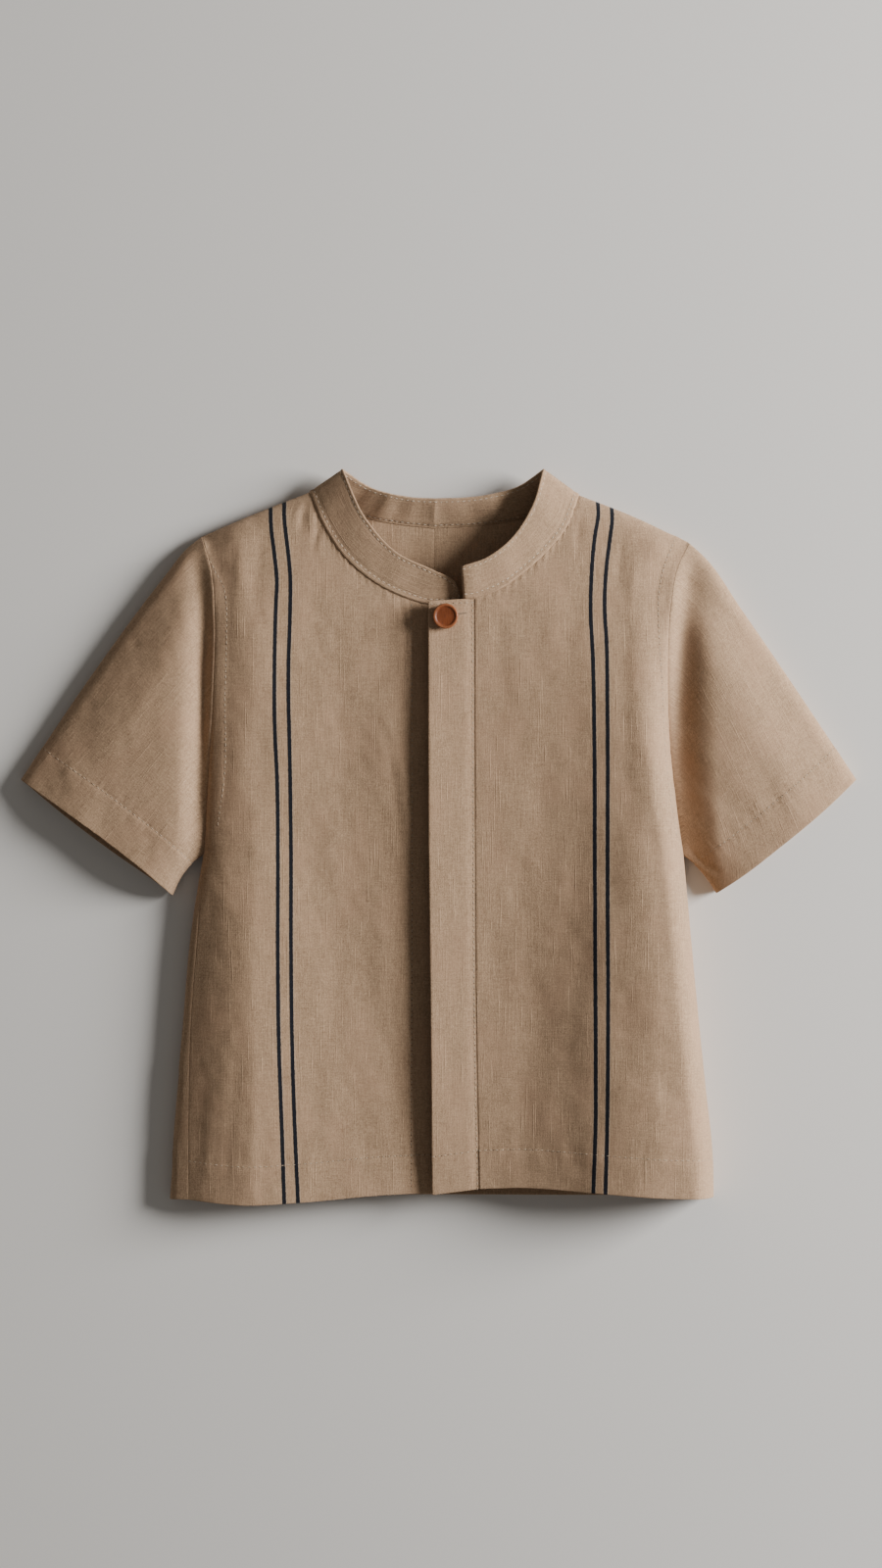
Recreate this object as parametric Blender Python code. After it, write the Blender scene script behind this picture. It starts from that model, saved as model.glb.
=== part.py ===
# A child's short-sleeved linen shirt with a standing neckband, laid out flat on a table.
# The tables are in millimetres, as is all the working. The meshes are written in metres.
# X runs to the viewer's right, Y towards the neck, and Z up. The shirt rests on z = 0.
# The sides in the names are the wearer's, so the right front is at the viewer's left.

import math

import bpy
import numpy as np

MM = 0.001

# Cloth and sewing
CLOTH = 1.2
PLACKET_CLOTH = 2.4
BAND_CLOTH = 2.0
SEAM_GAP = 0.3
SEAM_REACH = 0.8
BAND_DRAW_BACK = 0.5
UNDERARM_CLEAR = 1.9
UNDERARM_SHARPNESS = 8
LEAST_MITRE = 0.3
STEEPEST_MITRE = 0.62
HEM_DEPTH = 23.5
HEM_STEP = 2.5
HEM_EXTRA = 1.2

# How the cloth rounds over where it isn't flat
SHOULDER_ROLL = 15.0
BACK_RIM = 6.0
BACK_NECK_RIM = 15.0
NECK_LIFT = 2.2
NECK_LIFT_REACH = 24.0
NECK_LIFT_HALF_WIDTH = 40.0
NECK_LIFT_LEVEL = 192.0

# Plan outlines, each from its first named end to its second
RIGHT_SIDE = ((-163.9, -220.8), (-160.4, -168.0), (-156.0, -116.0), (-150.8, -57.0), (-143.0, -9.0))
RIGHT_SEAM = ((-152.4, -220.8), (-152.4, -168.0), (-151.2, -116.0), (-146.8, -57.0), (-143.0, -9.0))
RIGHT_ARMHOLE = ((-143.0, -9.0), (-141.2, 17.4), (-139.5, 48.0), (-137.5, 90.0), (-136.5, 135.0),
                 (-138.8, 163.0), (-144.5, 183.0))
RIGHT_SHOULDER = ((-144.5, 183.0), (-115.8, 195.4), (-78.6, 210.0))
RIGHT_NECK = ((12.0, 143.4), (-8.0, 142.2), (-20.2, 145.8), (-39.8, 155.6), (-58.2, 171.6),
              (-70.4, 190.5), (-78.6, 210.0))
RIGHT_HEM = ((12.0, -216.2), (-35.0, -217.9), (-84.4, -222.2), (-121.0, -223.7), (-152.4, -220.8))
UNDERLAP_EDGE = ((12.0, -216.2), (12.0, 143.4))

LEFT_SIDE = ((166.8, -218.9), (166.6, -196.8), (161.8, -150.0), (155.6, -87.6), (148.6, -10.0))
LEFT_ARMHOLE = ((148.6, -10.0), (142.8, 28.0), (139.4, 64.0), (138.6, 100.0), (140.6, 139.0),
                (145.4, 165.0), (152.4, 179.0))
LEFT_SHOULDER = ((152.4, 179.0), (119.3, 194.8), (85.0, 208.3))
LEFT_NECK = ((21.7, 145.2), (38.5, 151.9), (52.0, 161.7), (65.4, 174.0), (76.5, 187.4), (85.0, 208.3))
LEFT_HEM = ((24.8, -213.7), (50.5, -212.9), (93.4, -215.3), (142.4, -218.4), (166.8, -218.9))
PLACKET_EDGE = ((-4.2, -217.3), (-5.0, -120.0), (-6.3, 2.0), (-6.6, 143.4))
PLACKET_SEAM = ((24.8, -213.7), (23.0, -120.0), (22.2, 2.0), (21.7, 145.2))

BACK_RIGHT_HEM = ((-3.0, -218.6), (-90.0, -219.4), (-163.9, -220.8))
BACK_LEFT_HEM = ((-3.0, -218.6), (90.0, -219.0), (166.8, -218.9))
BACK_RIGHT_NECK = ((-3.0, 188.8), (-23.0, 190.9), (-44.5, 194.8), (-62.0, 200.6), (-78.6, 210.0))
BACK_LEFT_NECK = ((-3.0, 188.8), (24.8, 190.4), (49.7, 194.2), (68.0, 199.6), (85.0, 208.3))
CENTRE_BACK = ((-3.0, -218.6), (-3.0, 188.8))

RIGHT_TOP_FOLD = ((-144.5, 183.0), (-153.6, 175.8), (-166.2, 160.2), (-216.0, 92.4), (-254.9, 34.7))
RIGHT_UNDERARM = ((-143.0, -9.0), (-151.0, -15.5), (-158.5, -25.0), (-163.3, -35.2))
RIGHT_CUFF = ((-254.9, 34.7), (-201.2, -3.6), (-174.8, -24.6), (-163.3, -35.2))
LEFT_TOP_FOLD = ((152.4, 179.0), (162.2, 170.0), (184.2, 138.8), (223.2, 81.6), (254.3, 34.7))
LEFT_UNDERARM = ((148.6, -10.0), (156.6, -16.5), (164.5, -25.5), (170.0, -33.9))
LEFT_CUFF = ((254.3, 34.7), (236.0, 17.6), (209.6, -4.4), (183.2, -25.0), (170.0, -33.9))

# The band's upper edge: right front, back, left front
BAND_TOP_RIGHT = ((12.2, 149.0), (9.2, 155.6), (-3.1, 162.3), (-25.2, 172.8), (-44.7, 194.2), (-58.2, 223.5))
BAND_TOP_BACK = ((-58.2, 223.5), (-42.1, 213.4), (-23.0, 208.0), (3.8, 206.4), (29.6, 208.6), (48.0, 213.6),
                 (63.1, 223.5))
BAND_TOP_LEFT = ((63.1, 223.5), (56.9, 202.2), (39.8, 177.6), (28.7, 169.8), (13.4, 164.4))

# Height of the cloth's middle, level by level, at each named line down the garment
RIGHT_LINES = {"ridge": -112.0, "dip": -58.0, "hollow": -28.0, "underlap": 12.0}
RIGHT_LEVELS = (
    # level, ridge, dip, hollow, underlap
    (-222.0, 20.5, 17.0, 16.0, 13.5),
    (-150.0, 22.0, 17.0, 16.2, 14.4),
    (-60.0, 20.5, 15.6, 16.0, 14.8),
    (20.0, 18.0, 15.0, 16.4, 15.0),
    (70.0, 18.4, 15.4, 16.4, 15.0),
    (120.0, 20.0, 16.2, 16.0, 14.8),
    (150.0, 18.5, 16.2, 15.5, 14.4),
    (185.0, 14.0, 14.5, 14.5, 14.0),
    (212.0, 10.0, 11.0, 12.0, 12.0),
)
LEFT_LINES = {"placket": -6.0, "seam": 22.0, "rise": 50.0, "slope": 78.0, "upper": 104.0, "ridge": 130.0,
              "side": 156.0}
LEFT_LEVELS = (
    # level, placket, seam, rise, slope, upper, ridge, side
    (-222.0, 19.5, 18.5, 20.6, 26.4, 32.4, 34.8, 33.2),
    (-171.0, 22.5, 20.8, 22.6, 28.4, 34.2, 36.8, 35.2),
    (-120.0, 23.5, 21.2, 22.4, 27.6, 33.8, 36.8, 35.2),
    (-63.0, 23.5, 21.4, 22.4, 27.0, 33.2, 36.6, 35.2),
    (-15.0, 23.5, 21.4, 22.2, 25.2, 30.6, 33.8, 32.5),
    (32.0, 23.5, 21.4, 22.4, 24.6, 28.8, 31.6, 30.5),
    (80.0, 23.0, 21.2, 22.4, 24.2, 27.2, 29.0, 27.5),
    (128.0, 22.0, 20.8, 21.2, 21.6, 22.8, 23.0, 21.0),
    (185.0, 18.0, 18.0, 16.0, 15.0, 14.0, 13.5, 12.5),
    (212.0, 14.0, 14.0, 12.0, 10.8, 10.0, 9.5, 9.0),
)

# Width over which each front rises from its outer edge, level by level
RIGHT_ROLL = ((-222.0, 54.0), (-150.0, 46.0), (-60.0, 38.0), (-15.0, 32.0),
              (40.0, 26.0), (90.0, 22.0), (130.0, 18.0), (183.0, 24.0))
LEFT_ROLL = ((-222.0, 14.0), (-60.0, 14.0), (40.0, 16.0), (183.0, 22.0))

# How softly each front rises there: 0 is a round edge, 1 a gentle slope
RIGHT_SOFTNESS = ((-222.0, 1.0), (-60.0, 1.0), (-25.0, 0.0), (20.0, 0.0), (70.0, 1.0))
LEFT_SOFTNESS = ((-222.0, 0.0), (60.0, 0.0), (150.0, 1.0))

# Height of the seam round the outside, level by level: front at side and armhole, and the back's
RIGHT_RIM = (
    # level, front, back
    (-222.0, 9.5, 9.5),
    (-150.0, 10.5, 10.5),
    (-60.0, 10.5, 10.5),
    (-10.0, 8.0, 8.0),
    (-3.0, 9.2, 5.2),
    (5.0, 9.6, 2.6),
    (16.0, 9.8, CLOTH / 2),
    (50.0, 12.0, CLOTH / 2),
    (80.0, 14.5, CLOTH / 2),
    (110.0, 16.5, CLOTH / 2),
    (140.0, 16.5, CLOTH / 2),
    (165.0, 13.5, CLOTH / 2),
    (183.0, 6.0, CLOTH / 2),
)
LEFT_RIM = (
    (-222.0, 7.5, 7.5),
    (-60.0, 8.0, 8.0),
    (-10.0, 7.5, 7.5),
    (16.0, 8.4, CLOTH / 2),
    (50.0, 10.5, CLOTH / 2),
    (80.0, 14.0, CLOTH / 2),
    (110.0, 18.0, CLOTH / 2),
    (140.0, 19.0, CLOTH / 2),
    (165.0, 13.5, CLOTH / 2),
    (183.0, 6.0, CLOTH / 2),
)
SHOULDER_TIP_RIM = 6.0
NECK_POINT_RIM = 8.5

# How each sleeve lies: its crown by share of the way from the top fold to the underarm, the share of it
# left at the cuff, the width over which it rises from the armhole, and how far the lower layer shows at the
# cuff. A soft valley runs beside the armhole seam, as deep as "valley" says by the same shares and lowest at
# "middle" from the seam.
SLEEVES = {
    "right": {"crown": ((0.0, 20.0), (0.7, 21.0), (1.0, 18.0)), "cuff": 0.82, "rise": 28.0, "peek": 3.8,
              "valley": ((0.0, 0.0), (0.12, 3.5), (0.3, 5.5), (0.55, 6.5), (0.8, 4.0), (1.0, 0.0)),
              "middle": 9.5},
    "left": {"crown": ((0.0, 20.5), (0.35, 22.0), (0.7, 20.0), (1.0, 15.0)), "cuff": 0.86, "rise": 40.0,
             "peek": 0.6, "middle": 12.5,
             "valley": ((0.0, 0.0), (0.12, 5.5), (0.3, 7.0), (0.5, 5.5), (0.75, 2.5), (1.0, 0.0))},
}
SLEEVE_FOLD_EDGE = 7.0
SLEEVE_FOLD_EDGE_SHARE = 0.3
SLEEVE_FOLD_SLOPE = 46.0
SLEEVE_UNDER_ROLL = 24.0
SLEEVE_RIM_TOP = 5.0
SLEEVE_RIM_UNDER = 6.0
SLEEVE_BLEND = 28.0
PEEK_SHARPNESS = 6

# Slope of the band above the table, in degrees, by share of the way along each of its three parts
BAND_RIGHT_TILT = ((0.0, 6.0), (0.6, 7.0), (1.0, 13.0))
BAND_LEFT_TILT = ((0.0, 9.0), (0.6, 10.0), (1.0, 13.0))
BAND_BACK_TILT = ((0.0, 13.0), (0.16, 18.0), (0.5, 24.0), (0.84, 18.0), (1.0, 13.0))

# Rows up the side in millimetres from the hem, and shares of the way round the armhole
SIDE_ROWS = (0.0, HEM_DEPTH, HEM_DEPTH + HEM_STEP, 52.0, 82.0, 112.0, 142.0, 170.0, 192.0)
ARM_ROWS = (0.0, 0.02, 0.07, 0.15, 0.27, 0.41, 0.55, 0.69, 0.81, 0.89, 0.95, 0.985, 1.0)
CUFF_ROWS = (0.0, 0.07, 0.14, 0.21, 0.30, 0.43, 0.60)
FRONT_COLUMNS = 19
BACK_COLUMNS = 17
EDGE_CROWDING = 0.45
LAST_STEP = 0.35
PLACKET_COLUMNS = 4
PLACKET_BAND_COLUMN = 3
BAND_ROWS = 4

# Button
BUTTON_RADIUS = 7.7
BUTTON_THICK = 2.6
BUTTON_SHANK_RADIUS = 2.4
BUTTON_SHANK = 1.6
BUTTON_RIM = 1.7
BUTTON_DISH = 0.55
BUTTON_EDGE = 0.6
BUTTON_PLACE = (3.9, 134.2)
BUTTON_SIDES = 28

LINEN = (0.42, 0.34, 0.265, 1.0)
WOOD = (0.27, 0.075, 0.03, 1.0)


class Line:
    """A smooth line through a few plan points, read at shares of its length."""

    def __init__(self, points, steps=40):
        knots = np.array(points, float)
        spans = np.linalg.norm(np.diff(knots, axis=0), axis=1)
        slopes = np.diff(knots, axis=0) / spans[:, None]
        before, after = spans[:-1, None], spans[1:, None]
        middle = (slopes[:-1] * after + slopes[1:] * before) / (before + after)
        tangents = np.vstack([slopes[:1], middle, slopes[-1:]])
        pieces = [knots[:1]]
        for i, span in enumerate(spans):
            t = np.linspace(0, 1, steps + 1)[1:, None]
            start = (2 * t**3 - 3 * t**2 + 1) * knots[i] + (t**3 - 2 * t**2 + t) * span * tangents[i]
            end = (3 * t**2 - 2 * t**3) * knots[i + 1] + (t**3 - t**2) * span * tangents[i + 1]
            pieces.append(start + end)
        self.measure(np.vstack(pieces))

    def measure(self, dense):
        self.dense = dense
        self.run = np.concatenate([[0], np.cumsum(np.linalg.norm(np.diff(dense, axis=0), axis=1))])
        self.length = self.run[-1]

    def at(self, share):
        place = np.asarray(share, float) * self.length
        return np.stack([np.interp(place, self.run, self.dense[:, axis]) for axis in (0, 1)], axis=-1)

    def x_at(self, level):
        order = np.argsort(self.dense[:, 1])
        return np.interp(level, self.dense[order, 1], self.dense[order, 0])

    def y_at(self, x):
        order = np.argsort(self.dense[:, 0])
        return np.interp(x, self.dense[order, 0], self.dense[order, 1])


def joined(*lines):
    """Several lines end to end as one, with their corners kept."""
    whole = Line(((0, 0), (1, 0)))
    whole.measure(np.vstack([lines[0].dense] + [line.dense[1:] for line in lines[1:]]))
    return whole


def steady(stations, values, place):
    """Heights between stations, smooth and without overshoot. values holds one height for each station."""
    stations = np.asarray(stations, float)
    steps = np.diff(stations)
    slopes = np.diff(values, axis=-1) / steps
    before, after = slopes[..., :-1], slopes[..., 1:]
    total = np.where(before * after > 0, before + after, 1.0)
    inner = np.where(before * after > 0, 2 * before * after / total, 0.0)
    tangents = np.concatenate([slopes[..., :1], inner, slopes[..., -1:]], axis=-1)
    index = np.clip(np.searchsorted(stations, place) - 1, 0, len(steps) - 1)
    t = np.clip((place - stations[index]) / steps[index], 0, 1)

    def pick(table, shift=0):
        return np.take_along_axis(table, (index + shift)[..., None], axis=-1)[..., 0]

    start = (2 * t**3 - 3 * t**2 + 1) * pick(values) + (t**3 - 2 * t**2 + t) * steps[index] * pick(tangents)
    return start + (3 * t**2 - 2 * t**3) * pick(values, 1) + (t**3 - t**2) * steps[index] * pick(tangents, 1)


def column(table, number, level):
    """One column of a level table, read at any level."""
    rows = np.array(table, float)
    level = np.asarray(level, float)
    values = np.broadcast_to(rows[:, number], level.shape + (len(rows),))
    return steady(rows[:, 0], values, level)


def arch(share):
    """Rises upright from 0 and is level at 1."""
    return np.sqrt(1 - (1 - np.clip(share, 0, 1)) ** 2)


def ease(share):
    return np.sin(np.clip(share, 0, 1) * math.pi / 2)


def cove(share):
    """Falls upright from 1 and is level at 0, as a back panel turns up at its edge."""
    return 1 - arch(share)


class Side:
    """The outlines of one side of the body, and the height of its cloth."""

    def __init__(self, silhouette, seam, armhole, shoulder, lines, levels, roll, rim, soft):
        self.silhouette = Line(silhouette)
        self.seam = Line(seam)
        self.armhole = Line(armhole)
        self.shoulder = Line(shoulder)
        self.edge = joined(self.silhouette, self.armhole)
        self.stations = list(lines.values())
        self.levels = levels
        self.roll = roll
        self.rim = rim
        self.soft = soft
        self.underarm = self.silhouette.length / self.edge.length
        self.tip = abs(shoulder[0][0])
        self.neck_point = abs(shoulder[-1][0])

    def rows(self):
        """Shares of the outer edge's length at which the panels' rows meet it."""
        below = np.array(SIDE_ROWS) / self.edge.length
        return np.concatenate([below, self.underarm + (1 - self.underarm) * np.array(ARM_ROWS)])

    def crown(self, x, y):
        heights = [column(self.levels, number + 1, y) for number in range(len(self.stations))]
        return steady(self.stations, np.stack(heights, axis=-1), x)

    def distances(self, x, y):
        inward = np.maximum(np.abs(self.edge.x_at(y)) - np.abs(x), 0)
        below = np.maximum(self.shoulder.y_at(x) - y, 0)
        return inward, below

    def shoulder_rim(self, x):
        share = np.clip((self.tip - np.abs(x)) / (self.tip - self.neck_point), 0, 1)
        return SHOULDER_TIP_RIM + (NECK_POINT_RIM - SHOULDER_TIP_RIM) * share

    def front_height(self, x, y):
        inward, below = self.distances(x, y)
        soft = column(self.soft, 1, y)
        share = inward / column(self.roll, 1, y)
        rounding = (1 - soft) * arch(share) + soft * ease(share)
        near_shoulder = inward / (inward + below + 0.001)
        rim = (1 - near_shoulder) * column(self.rim, 1, y) + near_shoulder * self.shoulder_rim(x)
        return rim + (self.crown(x, y) - rim) * rounding * arch(below / SHOULDER_ROLL)

    def back_height(self, x, y):
        inward, below = self.distances(x, y)
        floor = CLOTH / 2
        side = (column(self.rim, 2, y) - floor) * cove(inward / BACK_RIM)
        share = np.clip((self.tip - np.abs(x)) / (self.tip - self.neck_point), 0, 1)
        rim_width = BACK_RIM + (BACK_NECK_RIM - BACK_RIM) * share
        shoulder = (self.shoulder_rim(x) - floor) * cove(below / rim_width)
        beside = np.maximum(np.abs(x) - NECK_LIFT_HALF_WIDTH, 0)
        neck_gap = np.hypot(beside, np.maximum(NECK_LIFT_LEVEL - y, 0))
        lift = NECK_LIFT * (1 - ease(neck_gap / NECK_LIFT_REACH))
        return floor + np.maximum(np.maximum(side, shoulder), lift)


class Panel:
    """A grid of points in the cloth's middle, with the direction that faces out of the garment."""

    def __init__(self, name, points, thickness, facing, ring=False, extra=None, draw_back=SEAM_GAP / 2):
        self.name = name
        self.points = np.array(points, float)
        self.ring = ring
        self.outer = thickness / 2
        self.draw_back = np.broadcast_to(draw_back, self.points.shape[1])
        self.inner = np.full(self.points.shape[:2], thickness / 2)
        if extra is not None:
            self.inner = self.inner + extra[:, None]
        self.normals = self.facing_out(facing)

    def facing_out(self, facing):
        along = unit_tangents(self.points, 1, self.ring)
        across = unit_tangents(self.points, 0, False)
        normals = unit(np.cross(along, across))
        row, place = self.points.shape[0] // 2, facing[0]
        if normals[row, place, 2] * facing[1] < 0:
            normals = -normals
        return normals

    def edges(self):
        """Index pairs of each edge's points, with each point's neighbour one step into the cloth."""
        rows, columns = self.points.shape[:2]
        every_row, every_column = np.arange(rows), np.arange(columns)
        found = [
            (every_column * 0, every_column, every_column * 0 + 1, every_column),
            (every_column * 0 + rows - 1, every_column, every_column * 0 + rows - 2, every_column),
        ]
        if not self.ring:
            found.append((every_row, every_row * 0, every_row, every_row * 0 + 1))
            found.append((every_row, every_row * 0 + columns - 1, every_row, every_row * 0 + columns - 2))
        return found


def unit(vectors):
    return vectors / np.maximum(np.linalg.norm(vectors, axis=-1, keepdims=True), 1e-9)


def unit_tangents(points, axis, ring):
    """Direction of the grid along one axis, halfway between the steps before and after each point."""
    points = np.moveaxis(points, axis, 0)
    if ring:
        after = unit(np.roll(points, -1, axis=0) - points)
        before = np.roll(after, 1, axis=0)
    else:
        steps = unit(np.diff(points, axis=0))
        after = np.concatenate([steps, steps[-1:]])
        before = np.concatenate([steps[:1], steps])
    return np.moveaxis(unit(before + after), 0, axis)


def nearest_on_edge(point, edge_points, edge_normals, ring):
    """Distance from a point to an edge, and the direction that faces out there."""
    starts, ends = edge_points[:-1], edge_points[1:]
    first, last = edge_normals[:-1], edge_normals[1:]
    if ring:
        starts, ends = edge_points, np.roll(edge_points, -1, axis=0)
        first, last = edge_normals, np.roll(edge_normals, -1, axis=0)
    along = ends - starts
    length_squared = np.maximum(np.sum(along**2, axis=1), 1e-9)
    share = np.clip(np.sum((point - starts) * along, axis=1) / length_squared, 0, 1)
    gaps = np.linalg.norm(starts + along * share[:, None] - point, axis=1)
    best = int(np.argmin(gaps))
    return gaps[best], unit(first[best] + (last[best] - first[best]) * share[best])


def open_seams(panels):
    """Mitre the edges that meet, and draw each back by half the seam's gap."""
    edges = []
    for panel in panels:
        for rows, columns, inner_rows, inner_columns in panel.edges():
            edges.append((panel, panel.points[rows, columns].copy(), panel.normals[rows, columns].copy()))
    for panel in panels:
        old_points = panel.points.copy()
        old_normals = panel.normals.copy()
        moved = np.zeros(panel.points.shape)
        mitred = old_normals.copy()
        for rows, columns, inner_rows, inner_columns in panel.edges():
            for i, j, inner_i, inner_j in zip(rows, columns, inner_rows, inner_columns):
                others = neighbour_normals(panel, old_points[i, j], edges)
                if not others:
                    continue
                shared = unit(old_normals[i, j] + sum(others))
                if np.dot(shared, old_normals[i, j]) > LEAST_MITRE:
                    mitred[i, j] = shared
                step = unit(old_points[inner_i, inner_j] - old_points[i, j]) * panel.draw_back[j]
                moved[i, j] += step
        lean = np.maximum(np.sum(mitred * old_normals, axis=-1), STEEPEST_MITRE)
        panel.points = old_points + moved
        panel.normals = mitred / lean[..., None]


def neighbour_normals(panel, point, edges):
    found = {}
    for other, points, normals in edges:
        if other is panel:
            continue
        gap, normal = nearest_on_edge(point, points, normals, other.ring)
        if gap < SEAM_REACH and (other.name not in found or gap < found[other.name][0]):
            found[other.name] = (gap, normal)
    return [normal for gap, normal in found.values()]


def shares_towards_edge(count, corner):
    """Shares of a row's length, closer together towards the outer edge, one of them on the corner."""
    even = np.linspace(0, 1, count + 1)
    shares = np.sin(even * math.pi / 2) * EDGE_CROWDING + even * (1 - EDGE_CROWDING)
    shares = np.append(shares, [1 - LAST_STEP * (1 - shares[-2])])
    nearest = int(np.argmin(np.abs(shares - corner)))
    shares[nearest] = corner
    return np.sort(shares)


def plan_row(v, shares, hem, top, inner, outer_point, outer):
    """One row of a panel between its four outlines, by the bilinear Coons rule."""
    w = shares[:, None]
    sides = (1 - w) * inner.at(v) + w * outer_point
    ends = (1 - v) * hem.at(shares) + v * top.at(shares)
    corners = (1 - v) * ((1 - w) * hem.at(0) + w * hem.at(1)) + v * ((1 - w) * top.at(0) + w * top.at(1))
    return sides + ends - corners


def sampled(path, shares):
    """Points at shares of a 3D path's length."""
    run = np.concatenate([[0], np.cumsum(np.linalg.norm(np.diff(path, axis=0), axis=1))])
    return np.stack([np.interp(shares * run[-1], run, path[:, axis]) for axis in range(3)], axis=-1)


def corner_share(path, corner_x):
    run = np.concatenate([[0], np.cumsum(np.linalg.norm(np.diff(path, axis=0), axis=1))])
    return run[int(np.argmin(np.abs(path[:, 0] - corner_x)))] / run[-1]


def body_panel(name, side, hem, top, inner, height, outer_edge, facing, columns, wrap=None):
    """A front or a back: rows from hem to shoulder, each sampled by its true length."""
    hem, inner = Line(hem), Line(inner)
    fine = np.linspace(0, 1, 241)
    paths = []
    for v in side.rows():
        outer_point = outer_edge(v)
        plan = plan_row(v, fine, hem, top, inner, outer_point, side.edge)
        path = np.column_stack([plan, height(plan[:, 0], plan[:, 1])])
        if wrap is not None and v < side.underarm:
            path = np.vstack([path, wrap(v)])
        paths.append(path)
    neck_x = side.shoulder.dense[-1, 0]
    shares = shares_towards_edge(columns, corner_share(paths[-1], neck_x))
    points = [sampled(path, shares) for path in paths]
    extra = np.zeros(len(paths))
    extra[:2] = HEM_EXTRA
    panel = Panel(name, points, CLOTH, facing, extra=extra)
    panel.neck_columns = int(np.argmin(np.abs(panel.points[-1, :, 0] - neck_x)))
    return panel


def make_body(right, left):
    right_top = joined(Line(RIGHT_NECK), Line(RIGHT_SHOULDER[::-1]))
    left_top = joined(Line(LEFT_NECK), Line(LEFT_SHOULDER[::-1]))
    back_right_top = joined(Line(BACK_RIGHT_NECK), Line(RIGHT_SHOULDER[::-1]))
    back_left_top = joined(Line(BACK_LEFT_NECK), Line(LEFT_SHOULDER[::-1]))

    def right_seam(v):
        point = right.edge.at(v)
        if v < right.underarm:
            point = np.array([right.seam.x_at(point[1]), point[1]])
        return point

    def wrap_over(v):
        start, end = right.edge.at(v), right_seam(v)
        plan = start + (end - start) * (1 - np.cos(np.linspace(0, math.pi / 2, 40)))[1:, None]
        return np.column_stack([plan, right.front_height(plan[:, 0], plan[:, 1])])

    front_right = body_panel("front_right", right, RIGHT_HEM, right_top, UNDERLAP_EDGE, right.front_height,
                             right_seam, (4, 1), FRONT_COLUMNS)
    front_left = body_panel("front_left", left, LEFT_HEM, left_top, PLACKET_SEAM, left.front_height,
                            left.edge.at, (4, 1), FRONT_COLUMNS)
    back_right = body_panel("back_right", right, BACK_RIGHT_HEM, back_right_top, CENTRE_BACK,
                            right.back_height, right.edge.at, (4, -1), BACK_COLUMNS, wrap=wrap_over)
    back_left = body_panel("back_left", left, BACK_LEFT_HEM, back_left_top, CENTRE_BACK,
                           left.back_height, left.edge.at, (4, -1), BACK_COLUMNS)
    return front_right, front_left, back_right, back_left


def make_placket(left):
    edge, seam = Line(PLACKET_EDGE), Line(PLACKET_SEAM)
    across = np.linspace(0, 1, PLACKET_COLUMNS + 1)
    points = []
    for v in left.rows():
        plan = edge.at(v) + (seam.at(v) - edge.at(v)) * across[:, None]
        points.append(np.column_stack([plan, left.front_height(plan[:, 0], plan[:, 1])]))
    return Panel("placket", points, PLACKET_CLOTH, (1, 1))


def make_sleeve(name, side, top_fold, underarm, cuff, lie):
    """A flattened tube. Each ring runs over the top from fold to underarm and back beneath."""
    top_fold, underarm, cuff = Line(top_fold), Line(underarm), Line(cuff)
    stations = (side.underarm + (1 - side.underarm) * np.array(ARM_ROWS))[::-1]
    arm = side.edge.at(stations)
    share_down = (1 - np.array(ARM_ROWS))[::-1]
    hem_share = HEM_DEPTH / top_fold.length
    step_share = (HEM_DEPTH + HEM_STEP) / top_fold.length
    rows = list(CUFF_ROWS) + [1 - step_share, 1 - hem_share, 1.0]
    arm_front = side.front_height(arm[:, 0], arm[:, 1])
    arm_back = side.back_height(arm[:, 0], arm[:, 1])
    crown = np.interp(share_down, *np.array(lie["crown"]).T)
    valley = np.interp(share_down, *np.array(lie["valley"]).T)
    points = []
    for s in rows:
        w = share_down[:, None]
        sides = (1 - w) * top_fold.at(s) + w * underarm.at(s)
        ends = (1 - s) * arm + s * cuff.at(share_down)
        corners = (1 - s) * ((1 - w) * arm[0] + w * arm[-1]) + s * ((1 - w) * cuff.at(0) + w * cuff.at(1))
        plan = sides + ends - corners
        width = np.linalg.norm(top_fold.at(s) - underarm.at(s))
        reach = s * ((1 - share_down) * top_fold.length + share_down * underarm.length)
        rim_top = SHOULDER_TIP_RIM + (SLEEVE_RIM_TOP - SHOULDER_TIP_RIM) * s
        rim_under = column(side.rim, 1, arm[-1, 1]) * (1 - s) + SLEEVE_RIM_UNDER * s
        rim = rim_top + (rim_under - rim_top) * share_down
        from_top, from_under = share_down * width, (1 - share_down) * width
        tall = crown * (1 + (lie["cuff"] - 1) * s)
        slope = (1 - SLEEVE_FOLD_EDGE_SHARE) * ease(from_top / SLEEVE_FOLD_SLOPE)
        rise = SLEEVE_FOLD_EDGE_SHARE * arch(from_top / SLEEVE_FOLD_EDGE) + slope
        over = rim + (tall - rim) * rise * arch(from_under / SLEEVE_UNDER_ROLL)
        over = arm_front + (over - arm_front) * ease(reach / lie["rise"])
        dip = reach / lie["middle"]
        over = over - valley * (dip * np.exp(1 - dip)) ** 2
        floor = CLOTH / 2
        under = floor + (rim_top - floor) * cove(from_top / BACK_RIM)
        under = under + (rim_under - floor) * cove(from_under / BACK_RIM)
        under = arm_back + (under - arm_back) * ease(reach / SLEEVE_BLEND)
        if s == 0:
            over, under = arm_front, arm_back
        out = unit(cuff.at(0.5) - arm[len(arm) // 2])
        beneath = plan + out * (lie["peek"] * np.sin(math.pi * share_down) * s**PEEK_SHARPNESS)[:, None]
        upper = np.column_stack([plan, over])
        lower = np.column_stack([beneath, under])[1:-1][::-1]
        points.append(np.vstack([upper, lower]))
    extra = np.zeros(len(rows))
    extra[-2:] = HEM_EXTRA
    round_ring = np.concatenate([share_down, share_down[1:-1][::-1]])
    draw_back = SEAM_GAP / 2 + UNDERARM_CLEAR * round_ring ** UNDERARM_SHARPNESS
    return Panel(name, points, CLOTH, (len(share_down) // 2, 1), ring=True, extra=extra, draw_back=draw_back)


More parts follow.
